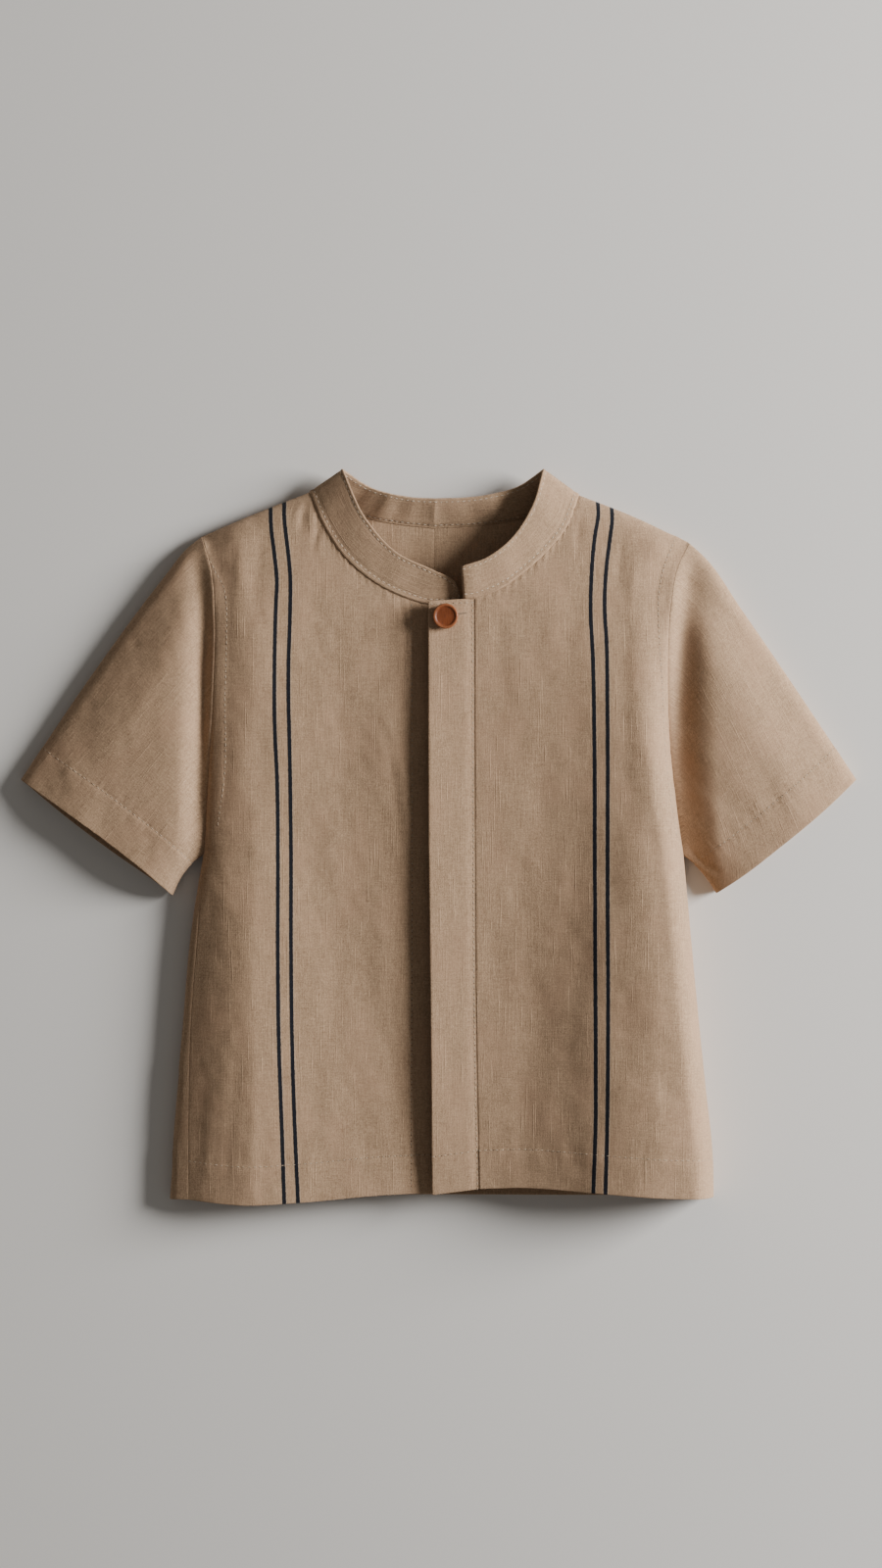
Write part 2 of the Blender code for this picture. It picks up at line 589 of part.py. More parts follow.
def make_band(front_right, front_left, back_right, back_left, placket):
    """The standing band, ruled from the panels' own neck points up to its top edge."""
    top_right, top_back, top_left = Line(BAND_TOP_RIGHT), Line(BAND_TOP_BACK), Line(BAND_TOP_LEFT)
    seam_right = front_right.points[-1, :front_right.neck_columns + 1]
    seam_back = np.vstack([
        back_right.points[-1, :back_right.neck_columns + 1][::-1][1:],
        back_left.points[-1, 1:back_left.neck_columns],
    ])
    seam_left = np.vstack([
        front_left.points[-1, :front_left.neck_columns + 1][::-1],
        placket.points[-1, PLACKET_BAND_COLUMN:PLACKET_BAND_COLUMN + 1],
    ])
    columns = []
    for seam, top, tilts in (
        (seam_right, top_right, BAND_RIGHT_TILT),
        (seam_back, top_back, BAND_BACK_TILT),
        (seam_left, top_left, BAND_LEFT_TILT[::-1]),
    ):
        whole = seam
        if top is top_back:
            whole = np.vstack([seam_right[-1:], seam, seam_left[:1]])
        run = np.concatenate([[0], np.cumsum(np.linalg.norm(np.diff(whole[:, :2], axis=0), axis=1))])
        shares = run / run[-1]
        if top is top_back:
            shares = shares[1:-1]
        tilt = np.array(tilts)
        if top is top_left:
            tilt[:, 0] = 1 - tilt[:, 0]
        slope = np.tan(np.radians(np.interp(shares, tilt[:, 0], tilt[:, 1])))
        upper = top.at(shares)
        rise = np.linalg.norm(upper - seam[:, :2], axis=1) * slope
        columns.append((seam, np.column_stack([upper, seam[:, 2] + rise])))
    lower = np.vstack([part[0] for part in columns])
    upper = np.vstack([part[1] for part in columns])
    points = [lower + (upper - lower) * share for share in np.linspace(0, 1, BAND_ROWS + 1)]
    return Panel("neckband", points, BAND_CLOTH, (4, 1), draw_back=BAND_DRAW_BACK)


def shell(panel, material):
    """The closed solid between a panel's outer and inner faces."""
    rows, columns = panel.points.shape[:2]
    outside = panel.points + panel.normals * panel.outer
    inside = panel.points - panel.normals * panel.inner[..., None]
    vertices = np.vstack([outside.reshape(-1, 3), inside.reshape(-1, 3)])
    number = np.arange(rows * columns).reshape(rows, columns)
    back = rows * columns
    wide = columns if panel.ring else columns - 1
    faces = []
    for i in range(rows - 1):
        for j in range(wide):
            k = (j + 1) % columns
            a, b, c, d = number[i, j], number[i, k], number[i + 1, k], number[i + 1, j]
            faces.append((a, b, c, d))
            faces.append((d + back, c + back, b + back, a + back))
    for j in range(wide):
        k = (j + 1) % columns
        faces.append((number[0, k], number[0, j], number[0, j] + back, number[0, k] + back))
        faces.append((number[-1, j], number[-1, k], number[-1, k] + back, number[-1, j] + back))
    if not panel.ring:
        for i in range(rows - 1):
            faces.append((number[i, 0], number[i + 1, 0], number[i + 1, 0] + back, number[i, 0] + back))
            faces.append((number[i + 1, -1], number[i, -1], number[i, -1] + back, number[i + 1, -1] + back))
    return add_object(panel.name, vertices * MM, faces, material)


def add_object(name, vertices, faces, material):
    corners = np.array([face if len(face) == 4 else face + face[-1:] for face in faces])
    a, b, c, d = (vertices[corners[:, k]] for k in range(4))
    volume = np.sum(np.cross(a, b) * c) + np.sum(np.cross(a, c) * d)
    if volume < 0:
        faces = [tuple(reversed(face)) for face in faces]
    mesh = bpy.data.meshes.new(name)
    mesh.from_pydata([tuple(v) for v in vertices], [], [tuple(int(k) for k in face) for face in faces])
    mesh.materials.append(material)
    mesh.shade_smooth()
    mesh.set_sharp_from_angle(angle=math.radians(40))
    mesh.update()
    made = bpy.data.objects.new(name, mesh)
    bpy.context.scene.collection.objects.link(made)
    return made


def make_button(left, material):
    """A turned wooden button with a rim, a shallow dish and a short shank, just clear of the placket."""
    top = BUTTON_SHANK + BUTTON_THICK
    dish = BUTTON_RADIUS - BUTTON_RIM
    profile = (
        (BUTTON_SHANK_RADIUS, 0.0),
        (BUTTON_SHANK_RADIUS, BUTTON_SHANK),
        (BUTTON_RADIUS - 2 * BUTTON_EDGE, BUTTON_SHANK),
        (BUTTON_RADIUS - BUTTON_EDGE / 3, BUTTON_SHANK + BUTTON_EDGE),
        (BUTTON_RADIUS, BUTTON_SHANK + BUTTON_THICK / 2),
        (BUTTON_RADIUS - BUTTON_EDGE / 3, top - BUTTON_EDGE),
        (BUTTON_RADIUS - BUTTON_EDGE, top),
        (dish + BUTTON_EDGE, top),
        (dish - BUTTON_EDGE, top - BUTTON_DISH),
    )
    turns = np.linspace(0, 2 * math.pi, BUTTON_SIDES, endpoint=False)
    x, y = BUTTON_PLACE
    seat = left.front_height(np.array([x]), np.array([y]))[0] + PLACKET_CLOTH / 2 + SEAM_GAP
    vertices = [
        (x + radius * math.cos(turn), y + radius * math.sin(turn), seat + height)
        for radius, height in profile for turn in turns
    ]
    count = BUTTON_SIDES
    faces = []
    for ring in range(len(profile) - 1):
        for j in range(count):
            k = (j + 1) % count
            faces.append((ring * count + j, ring * count + k, (ring + 1) * count + k, (ring + 1) * count + j))
    last = (len(profile) - 1) * count
    vertices.append((x, y, seat))
    vertices.append((x, y, seat + top - BUTTON_DISH))
    for j in range(count):
        k = (j + 1) % count
        faces.append((k, j, len(vertices) - 2))
        faces.append((last + j, last + k, len(vertices) - 1))
    return add_object("button", np.array(vertices) * MM, faces, material)


def make_material(name, colour, roughness):
    material = bpy.data.materials.new(name)
    material.use_nodes = True
    finish = material.node_tree.nodes["Principled BSDF"]
    finish.inputs["Base Color"].default_value = colour
    finish.inputs["Roughness"].default_value = roughness
    finish.inputs["Metallic"].default_value = 0.0
    return material


def main():
    for old in list(bpy.data.objects):
        bpy.data.objects.remove(old, do_unlink=True)
    linen = make_material("linen", LINEN, 0.9)
    wood = make_material("wood", WOOD, 0.5)
    right = Side(RIGHT_SIDE, RIGHT_SEAM, RIGHT_ARMHOLE, RIGHT_SHOULDER, RIGHT_LINES, RIGHT_LEVELS, RIGHT_ROLL,
                 RIGHT_RIM, RIGHT_SOFTNESS)
    left = Side(LEFT_SIDE, LEFT_SIDE, LEFT_ARMHOLE, LEFT_SHOULDER, LEFT_LINES, LEFT_LEVELS, LEFT_ROLL,
                LEFT_RIM, LEFT_SOFTNESS)
    front_right, front_left, back_right, back_left = make_body(right, left)
    placket = make_placket(left)
    sleeve_right = make_sleeve("sleeve_right", right, RIGHT_TOP_FOLD, RIGHT_UNDERARM, RIGHT_CUFF,
                               SLEEVES["right"])
    sleeve_left = make_sleeve("sleeve_left", left, LEFT_TOP_FOLD, LEFT_UNDERARM, LEFT_CUFF, SLEEVES["left"])
    band = make_band(front_right, front_left, back_right, back_left, placket)
    panels = [front_right, front_left, back_right, back_left, placket, sleeve_right, sleeve_left, band]
    open_seams(panels)
    for panel in panels:
        shell(panel, linen)
    make_button(left, wood)


main()
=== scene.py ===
import math

import bpy
import numpy as np
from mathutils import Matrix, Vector
from mathutils.bvhtree import BVHTree


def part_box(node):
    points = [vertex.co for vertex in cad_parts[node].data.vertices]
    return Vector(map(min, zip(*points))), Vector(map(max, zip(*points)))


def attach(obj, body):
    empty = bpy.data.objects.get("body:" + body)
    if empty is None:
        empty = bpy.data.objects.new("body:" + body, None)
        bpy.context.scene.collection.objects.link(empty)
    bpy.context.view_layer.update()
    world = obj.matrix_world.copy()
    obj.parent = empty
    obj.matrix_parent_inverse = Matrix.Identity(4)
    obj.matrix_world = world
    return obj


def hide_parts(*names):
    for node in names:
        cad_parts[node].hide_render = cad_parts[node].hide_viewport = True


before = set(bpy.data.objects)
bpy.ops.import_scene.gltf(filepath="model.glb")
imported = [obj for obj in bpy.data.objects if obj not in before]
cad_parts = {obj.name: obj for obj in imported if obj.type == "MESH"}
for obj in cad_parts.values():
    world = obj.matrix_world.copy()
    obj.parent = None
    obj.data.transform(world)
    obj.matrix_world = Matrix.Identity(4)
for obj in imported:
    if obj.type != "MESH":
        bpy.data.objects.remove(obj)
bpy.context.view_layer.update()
print("frame loaded:", sorted(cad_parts))

# The shirt is worked in millimetres and written in metres. X is the viewer's right, Y is towards the
# neck, Z is up, and the shirt lies on z = 0. Sides are the wearer's: the right front is at the left.
mm = 0.001

# The cut: plan outlines, and the height of the cloth's middle at each named line down the garment
rightSide = {
    "silhouette": ((-163.9, -220.8), (-160.4, -168), (-156, -116), (-150.8, -57), (-143, -9)),
    "seam": ((-152.4, -220.8), (-152.4, -168), (-151.2, -116), (-146.8, -57), (-143, -9)),
    "armhole": ((-143, -9), (-141.2, 17.4), (-139.5, 48), (-137.5, 90), (-136.5, 135),
                (-138.8, 163), (-144.5, 183)),
    "shoulder": ((-144.5, 183), (-115.8, 195.4), (-78.6, 210)),
    "neck": ((12, 143.4), (-8, 142.2), (-20.2, 145.8), (-39.8, 155.6), (-58.2, 171.6),
             (-70.4, 190.5), (-78.6, 210)),
    "hem": ((12, -216.2), (-35, -217.9), (-84.4, -222.2), (-121, -223.7), (-152.4, -220.8)),
    "inner": ((12, -216.2), (12, 143.4)),
    "backHem": ((-3, -218.6), (-90, -219.4), (-163.9, -220.8)),
    "backNeck": ((-3, 188.8), (-23, 190.9), (-44.5, 194.8), (-62, 200.6), (-78.6, 210)),
    "stations": (-112, -58, -28, 12),      # ridge, dip, hollow, underlap
    "levels": (
        (-222, 20.5, 17, 16, 13.5),
        (-150, 22, 17, 16.2, 14.4),
        (-60, 20.5, 15.6, 16, 14.8),
        (20, 18, 15, 16.4, 15),
        (70, 18.4, 15.4, 16.4, 15),
        (120, 20, 16.2, 16, 14.8),
        (150, 18.5, 16.2, 15.5, 14.4),
        (185, 14, 14.5, 14.5, 14),
        (212, 10, 11, 12, 12),
    ),
    "roll": ((-222, 54), (-150, 46), (-60, 38), (-15, 32), (40, 26), (90, 22),
             (130, 18), (183, 24)),     # level, width over which the cloth rounds over
    "rim": (  # level, height of the front's outer edge, and of the back's
        (-222, 9.5, 9.5),
        (-150, 10.5, 10.5),
        (-60, 10.5, 10.5),
        (-10, 8, 8),
        (-3, 9.2, 5.2),
        (5, 9.6, 2.6),
        (16, 9.8, 0.6),
        (50, 12, 0.6),
        (80, 14.5, 0.6),
        (110, 16.5, 0.6),
        (140, 16.5, 0.6),
        (165, 13.5, 0.6),
        (177, 11, 0.6),
        (183, 6, 0.6),
    ),
    "soft": ((-222, 1), (-60, 1), (-25, 0), (20, 0), (70, 1)),
}
leftSide = {
    "silhouette": ((166.8, -218.9), (166.6, -196.8), (161.8, -150), (155.6, -87.6), (148.6, -10)),
    "armhole": ((148.6, -10), (142.8, 28), (139.4, 64), (138.6, 100), (140.6, 139),
                (145.4, 165), (152.4, 179)),
    "shoulder": ((152.4, 179), (119.3, 194.8), (85, 208.3)),
    "neck": ((21.7, 145.2), (38.5, 151.9), (52, 161.7), (65.4, 174), (76.5, 187.4), (85, 208.3)),
    "hem": ((24.8, -213.7), (50.5, -212.9), (93.4, -215.3), (142.4, -218.4), (166.8, -218.9)),
    "inner": ((24.8, -213.7), (23, -120), (22.2, 2), (21.7, 145.2)),
    "placketEdge": ((-4.2, -217.3), (-5, -120), (-6.3, 2), (-6.6, 143.4)),
    "backHem": ((-3, -218.6), (90, -219), (166.8, -218.9)),
    "backNeck": ((-3, 188.8), (24.8, 190.4), (49.7, 194.2), (68, 199.6), (85, 208.3)),
    "stations": (-6, 22, 50, 78, 104, 130, 156),  # placket, its seam, ... ridge, side
    "levels": (
        (-222, 19.5, 18.5, 20.6, 26.4, 32.4, 34.8, 33.2),
        (-171, 22.5, 20.8, 22.6, 28.4, 34.2, 36.8, 35.2),
        (-120, 23.5, 21.2, 22.4, 27.6, 33.8, 36.8, 35.2),
        (-63, 23.5, 21.4, 22.4, 27, 33.2, 36.6, 35.2),
        (-15, 23.5, 21.4, 22.2, 25.2, 30.6, 33.8, 32.5),
        (32, 23.5, 21.4, 22.4, 24.6, 28.8, 31.6, 30.5),
        (80, 23, 21.2, 22.4, 24.2, 27.2, 29, 27.5),
        (128, 22, 20.8, 21.2, 21.6, 22.8, 23, 21),
        (185, 18, 18, 16, 15, 14, 13.5, 12.5),
        (212, 14, 14, 12, 10.8, 10, 9.5, 9),
    ),
    "roll": ((-222, 14), (-60, 14), (40, 16), (183, 22)),
    "rim": (
        (-222, 7.5, 7.5),
        (-60, 8, 8),
        (-10, 7.5, 7.5),
        (16, 8.4, 0.6),
        (50, 10.5, 0.6),
        (80, 14, 0.6),
        (110, 18, 0.6),
        (140, 19, 0.6),
        (165, 13.5, 0.6),
        (183, 6, 0.6),
    ),
    "soft": ((-222, 0), (60, 0), (150, 1)),
}
centreBack = ((-3, -218.6), (-3, 188.8))

# How the cloth rounds over at its edges, and the heights of the seams round the outside
rounding = {
    "shoulderTip": 6.0,
    "neckPoint": 8.5,
    "shoulderRoll": 15.0,
    "backRim": 6.0,
    "backNeckRim": 15.0,
    "neckLift": 2.2,
    "neckLiftReach": 24.0,
    "neckLiftHalfWidth": 40.0,
    "neckLiftLevel": 192.0,
}

# Thickness of the cloth, from its middle, and the fineness of the grids
wall = {
    "out": 0.6,
    "in": 0.25,
    "placketOut": 1.2,
    "placketIn": 0.6,
    "bandOut": 1.0,
    "bandIn": 0.8,
    "hem": 0.7,
    "hemDepth": 23.5,
    "hemStep": 2.5,
    "round": 0.8,
    "edgeShare": 0.8,
    "sewnTaper": 7.0,
    "placketSewn": 0.7,
    "offTable": 0.02,
}
grid = {
    "row": 1.8,
    "frontColumns": 98,
    "backColumns": 52,
    "placketColumns": 17,
    "bandRows": 16,
    "edge": 0.7,
    "tail": 16.0,
    "tailRows": 13,
}


# Lines and smooth steps
def smooth(share):
    share = np.clip(share, 0, 1)
    return share * share * (3 - 2 * share)


def arch(share):  # rises upright from 0 and is level at 1
    return np.sqrt(1 - (1 - np.clip(share, 0, 1)) ** 2)


def ease(share):
    return np.sin(np.clip(share, 0, 1) * math.pi / 2)


def between(first, last, share):
    return first + (last - first) * share


def ridge(distance, width):  # 1 at its middle
    return np.exp(-((distance / width) ** 2))


def cove(share):  # falls upright from 1 and is level at 0
    return 1 - arch(share)


def unit(vectors):
    return vectors / np.maximum(np.linalg.norm(vectors, axis=-1, keepdims=True), 1e-9)


def runOf(points):
    return np.concatenate([[0], np.cumsum(np.linalg.norm(np.diff(points, axis=0), axis=1))])


def sampled(path, shares):
    run = runOf(path)
    return np.stack([np.interp(shares * run[-1], run, path[:, k]) for k in range(path.shape[1])], axis=-1)


class Line:  # a smooth line through a few plan points, read at shares of its length
    def __init__(self, points, steps=40):
        knots = np.array(points, float)
        spans = np.linalg.norm(np.diff(knots, axis=0), axis=1)
        slopes = np.diff(knots, axis=0) / spans[:, None]
        before, after = spans[:-1, None], spans[1:, None]
        middle = (slopes[:-1] * after + slopes[1:] * before) / (before + after)
        tangents = np.vstack([slopes[:1], middle, slopes[-1:]])
        pieces = [knots[:1]]
        for i, span in enumerate(spans):
            t = np.linspace(0, 1, steps + 1)[1:, None]
            start = (2 * t**3 - 3 * t**2 + 1) * knots[i] + (t**3 - 2 * t**2 + t) * span * tangents[i]
            end = (3 * t**2 - 2 * t**3) * knots[i + 1] + (t**3 - t**2) * span * tangents[i + 1]
            pieces.append(start + end)
        self.measure(np.vstack(pieces))

    def measure(self, dense):
        self.dense = dense
        self.run = runOf(dense)
        self.length = self.run[-1]

    def at(self, share):
        place = np.asarray(share, float) * self.length
        return np.stack([np.interp(place, self.run, self.dense[:, k]) for k in (0, 1)], axis=-1)

    def xAt(self, level):
        order = np.argsort(self.dense[:, 1])
        return np.interp(level, self.dense[order, 1], self.dense[order, 0])

    def yAt(self, x):
        order = np.argsort(self.dense[:, 0])
        return np.interp(x, self.dense[order, 0], self.dense[order, 1])


def joined(*lines):  # several lines end to end as one, with their corners kept
    whole = Line(((0, 0), (1, 0)))
    whole.measure(np.vstack([lines[0].dense] + [line.dense[1:] for line in lines[1:]]))
    return whole


def steady(stations, values, place):  # heights between stations, smooth and without overshoot
    stations = np.asarray(stations, float)
    steps = np.diff(stations)
    slopes = np.diff(values, axis=-1) / steps
    before, after = slopes[..., :-1], slopes[..., 1:]
    total = np.where(before * after > 0, before + after, 1.0)
    inner = np.where(before * after > 0, 2 * before * after / total, 0.0)
    tangents = np.concatenate([slopes[..., :1], inner, slopes[..., -1:]], axis=-1)
    index = np.clip(np.searchsorted(stations, place) - 1, 0, len(steps) - 1)
    t = np.clip((place - stations[index]) / steps[index], 0, 1)

    def pick(table, shift=0):
        return np.take_along_axis(table, (index + shift)[..., None], axis=-1)[..., 0]

    start = (2 * t**3 - 3 * t**2 + 1) * pick(values) + (t**3 - 2 * t**2 + t) * steps[index] * pick(tangents)
    return start + (3 * t**2 - 2 * t**3) * pick(values, 1) + (t**3 - t**2) * steps[index] * pick(tangents, 1)


def column(table, number, level):
    rows = np.array(table, float)
    level = np.asarray(level, float)
    values = np.broadcast_to(rows[:, number], level.shape + (len(rows),))
    return steady(rows[:, 0], values, level)


class Side:  # one side of the body: its outlines and the height of its cloth
    def __init__(self, cut):
        self.cut = cut
        self.silhouette = Line(cut["silhouette"])
        self.armhole, self.shoulder = Line(cut["armhole"]), Line(cut["shoulder"])
        self.edge = joined(self.silhouette, self.armhole)
        self.underarm = self.silhouette.length / self.edge.length
        self.tip = abs(cut["shoulder"][0][0])
        self.neckPoint = abs(cut["shoulder"][-1][0])
        self.armShares = self.armRows()
        self.rows = self.allRows()

    def armRows(self):  # shares of the armhole, closer at both ends
        length, tail = self.armhole.length, grid["tail"]
        graded = tail * np.linspace(0, 1, grid["tailRows"] + 1) ** 2
        middle = np.linspace(tail, length - tail, int((length - 2 * tail) / grid["row"]) + 1)[1:-1]
        return np.concatenate([graded, middle, (length - graded)[::-1]]) / length

    def allRows(self):
        length = self.silhouette.length
        low = np.array([0.0, 0.25, grid["edge"]])
        even = np.linspace(grid["row"] + 0.2, length, int(length / grid["row"]))
        below = np.concatenate([low, even])[:-1] / self.edge.length
        return np.concatenate([below, self.underarm + (1 - self.underarm) * self.armShares])

    def crown(self, x, y):
        levels = self.cut["levels"]
        heights = [column(levels, number + 1, y) for number in range(len(self.cut["stations"]))]
        return steady(self.cut["stations"], np.stack(heights, axis=-1), x)

    def distances(self, x, y):
        inward = np.maximum(np.abs(self.edge.xAt(y)) - np.abs(x), 0)
        below = np.maximum(self.shoulder.yAt(x) - y, 0)
        return inward, below

    def shoulderShare(self, x):
        return np.clip((self.tip - np.abs(x)) / (self.tip - self.neckPoint), 0, 1)

    def shoulderRim(self, x):
        return between(rounding["shoulderTip"], rounding["neckPoint"], self.shoulderShare(x))

    def frontHeight(self, x, y):
        inward, below = self.distances(x, y)
        soft = column(self.cut["soft"], 1, y)
        share = inward / column(self.cut["roll"], 1, y)
        over = between(arch(share), ease(share), soft)
        nearShoulder = inward / (inward + below + 0.001)
        rim = between(column(self.cut["rim"], 1, y), self.shoulderRim(x), nearShoulder)
        return between(rim, self.crown(x, y), over * arch(below / rounding["shoulderRoll"]))

    def backHeight(self, x, y):
        inward, below = self.distances(x, y)
        floor = wall["out"]
        side = (column(self.cut["rim"], 2, y) - floor) * cove(inward / rounding["backRim"])
        rimWidth = between(rounding["backRim"], rounding["backNeckRim"], self.shoulderShare(x))
        shoulder = (self.shoulderRim(x) - floor) * cove(below / rimWidth)
        beside = np.maximum(np.abs(x) - rounding["neckLiftHalfWidth"], 0)
        neckGap = np.hypot(beside, np.maximum(rounding["neckLiftLevel"] - y, 0))
        lift = rounding["neckLift"] * (1 - ease(neckGap / rounding["neckLiftReach"]))
        return floor + np.maximum(np.maximum(side, shoulder), lift)


# Cloth panels
def unitTangents(points, axis, ring):
    points = np.moveaxis(points, axis, 0)
    if ring:
        after = unit(np.roll(points, -1, axis=0) - points)
        before = np.roll(after, 1, axis=0)
    else:
        steps = unit(np.diff(points, axis=0))
        after = np.concatenate([steps, steps[-1:]])
        before = np.concatenate([steps[:1], steps])
    return np.moveaxis(unit(before + after), 0, axis)


class Panel:  # a grid of points in the cloth's middle: rows by columns
    def __init__(self, name, points, out, inside, facing, ring=False):
        self.name, self.ring, self.facing = name, ring, facing
        self.points = np.array(points, float)
        self.out, self.inside = out, np.full(self.points.shape[:2], inside)
        self.low, self.high = self.runs(0)
        self.start, self.end = self.runs(1)
        self.normals = self.facingOut()
        self.stripes = None
        self.sewn = 0.0   # how far the outside thins towards the last edge, where it is sewn down

    def runs(self, axis):  # distance from the first and from the last edge along one axis
        if self.ring and axis == 1:
            far = np.full(self.points.shape[:2], 1e3)
            return far, far
        steps = np.linalg.norm(np.diff(self.points, axis=axis), axis=-1)
        zero = np.zeros_like(np.take(steps, [0], axis=axis))
        run = np.concatenate([zero, np.cumsum(steps, axis=axis)], axis=axis)
        return run, np.take(run, [-1], axis=axis) - run

    def facingOut(self):
        along, across = unitTangents(self.points, 1, self.ring), unitTangents(self.points, 0, False)
        normals = unit(np.cross(along, across))
        column, up = self.facing
        return normals if normals[len(normals) // 2, column, 2] * up > 0 else -normals

    def closedPoints(self):  # a ring's first column comes again at its end
        return np.concatenate([self.points, self.points[:, :1]], axis=1) if self.ring else self.points

    def shape(self, relief):  # moves the cloth along its normals, then takes the normals again
        self.points = self.points + self.normals * relief[..., None]
        self.points[..., 2] = np.maximum(self.points[..., 2], wall["out"])
        self.normals = self.facingOut()

    def edges(self):
        picks = [(0, slice(None)), (-1, slice(None))]
        if not self.ring:
            picks += [(slice(None), 0), (slice(None), -1)]
        return picks

    def faces(self):
        nearest = np.minimum(np.minimum(self.low, self.high), np.minimum(self.start, self.end))
        share = wall["edgeShare"] + (1 - wall["edgeShare"]) * arch(nearest / wall["round"])
        sewn = 1 - self.sewn * (1 - smooth(self.end / wall["sewnTaper"]))
        outside = self.points + self.normals * (self.out * share * sewn)[..., None]
        inside = self.points - self.normals * (self.inside * share)[..., None]
        for layer in (inside, outside):
            layer[..., 2] = np.maximum(layer[..., 2], wall["offTable"])
        return outside, inside

    def line(self, rowPlace, side=1):  # points and normals along a row, which may lie between rows
        outside, inside = self.faces()
        surface = outside if side > 0 else inside
        rows = np.clip(np.broadcast_to(rowPlace, surface.shape[1]), 0, len(surface) - 1.001)
        below, share = rows.astype(int), (rows % 1)[:, None]
        columns = np.arange(surface.shape[1])
        places = surface[below, columns] * (1 - share) + surface[below + 1, columns] * share
        normals = unit(self.normals[below, columns] * (1 - share) + self.normals[below + 1, columns] * share)
        return places, normals * side

    def rowAt(self, distance, fromTop):  # the row place at a distance from the low or the top edge
        runs = self.high[::-1] if fromTop else self.low
        rows = np.array([np.interp(distance, runs[:, j], np.arange(len(runs))) for j in range(runs.shape[1])])
        return len(runs) - 1 - rows if fromTop else rows


def meetAtSeams(panels):  # edges that meet share one normal
    found = {}
    for panel in panels:
        for pick in panel.edges():
            for point, normal in zip(panel.points[pick], panel.normals[pick]):
                found.setdefault(tuple(np.round(point, 1)), {}).setdefault(panel.name, normal)
    for panel in panels:
        for pick in panel.edges():
            points, normals = panel.points[pick], panel.normals[pick].copy()
            for k, point in enumerate(points):
                others = found[tuple(np.round(point, 1))]
                shared = unit(sum(others.values()))
                if len(others) > 1 and np.dot(shared, normals[k]) > 0.3:
                    normals[k] = shared
            panel.normals[pick] = normals


def columnShares(count, corner, length):
    even = np.linspace(0, 1, count + 1)
    edge = grid["edge"] / length
    shares = np.sort(np.append(even, [edge * 0.35, edge, 1 - edge, 1 - edge * 0.35]))
    shares[int(np.argmin(np.abs(shares - corner)))] = corner
    return shares


def bodyPanel(name, side, hem, top, inner, height, outer, facing, count, wrap=None):
    hem, inner = Line(hem), Line(inner)
    v, w = side.rows[:, None, None], np.linspace(0, 1, 401)
    sides = (1 - w[:, None]) * inner.at(side.rows)[:, None] + w[:, None] * outer(side.rows)[:, None]
    ends = (1 - v) * hem.at(w) + v * top.at(w)
    low = (1 - w[:, None]) * hem.at(0) + w[:, None] * hem.at(1)
    high = (1 - w[:, None]) * top.at(0) + w[:, None] * top.at(1)
    plan = sides + ends - (1 - v) * low - v * high
    heights = height(plan[..., 0], plan[..., 1])
    paths = [np.column_stack([plan[i], heights[i]]) for i in range(len(plan))]
    if wrap is not None:
        paths = [np.vstack([path, wrap(share)]) if share < side.underarm else path
                 for path, share in zip(paths, side.rows)]
    neckX = side.shoulder.dense[-1, 0]
    last = paths[-1]
    run = runOf(last)
    corner = run[int(np.argmin(np.abs(last[:, 0] - neckX)))] / run[-1]
    shares = columnShares(count, corner, run[-1])
    panel = Panel(name, [sampled(path, shares) for path in paths], wall["out"], wall["in"], facing)
    panel.neckColumns = int(np.argmin(np.abs(panel.points[-1, :, 0] - neckX)))
    panel.inside += wall["hem"] * (1 - smooth((panel.low - wall["hemDepth"]) / wall["hemStep"]))
    return panel


def makeBody(right, left):
    def topOf(side, neck):
        return joined(Line(side.cut[neck]), Line(side.cut["shoulder"][::-1]))

    def rightSeam(v):
        points = right.edge.at(v)
        seamX = Line(right.cut["seam"]).xAt(points[..., 1])
        points[..., 0] = np.where(np.asarray(v) < right.underarm, seamX, points[..., 0])
        return points

    def wrapOver(v):
        start, end = right.edge.at(v), rightSeam(v)
        plan = start + (end - start) * (1 - np.cos(np.linspace(0, math.pi / 2, 60)))[1:, None]
        return np.column_stack([plan, right.frontHeight(plan[:, 0], plan[:, 1])])

    def front(name, side, outer):
        return bodyPanel(name, side, side.cut["hem"], topOf(side, "neck"), side.cut["inner"],
                         side.frontHeight, outer, (30, 1), grid["frontColumns"])

    def back(name, side, wrap=None):
        return bodyPanel(name, side, side.cut["backHem"], topOf(side, "backNeck"), centreBack,
                         side.backHeight, side.edge.at, (20, -1), grid["backColumns"], wrap)

    return (front("front_right", right, rightSeam), front("front_left", left, left.edge.at),
            back("back_right", right, wrapOver), back("back_left", left))


def makePlacket(left):
    edge, seam = Line(left.cut["placketEdge"]), Line(left.cut["inner"])
    across = np.sort(np.append(np.linspace(0, 1, grid["placketColumns"]), [0.008, 0.025, 0.975, 0.992]))
    start, end = edge.at(left.rows)[:, None], seam.at(left.rows)[:, None]
    plan = start + (end - start) * across[:, None]
    points = np.concatenate([plan, left.frontHeight(plan[..., 0], plan[..., 1])[..., None]], axis=-1)
    panel = Panel("placket", points, wall["placketOut"], wall["placketIn"], (8, 1))
    panel.sewn = wall["placketSewn"]
    return panel


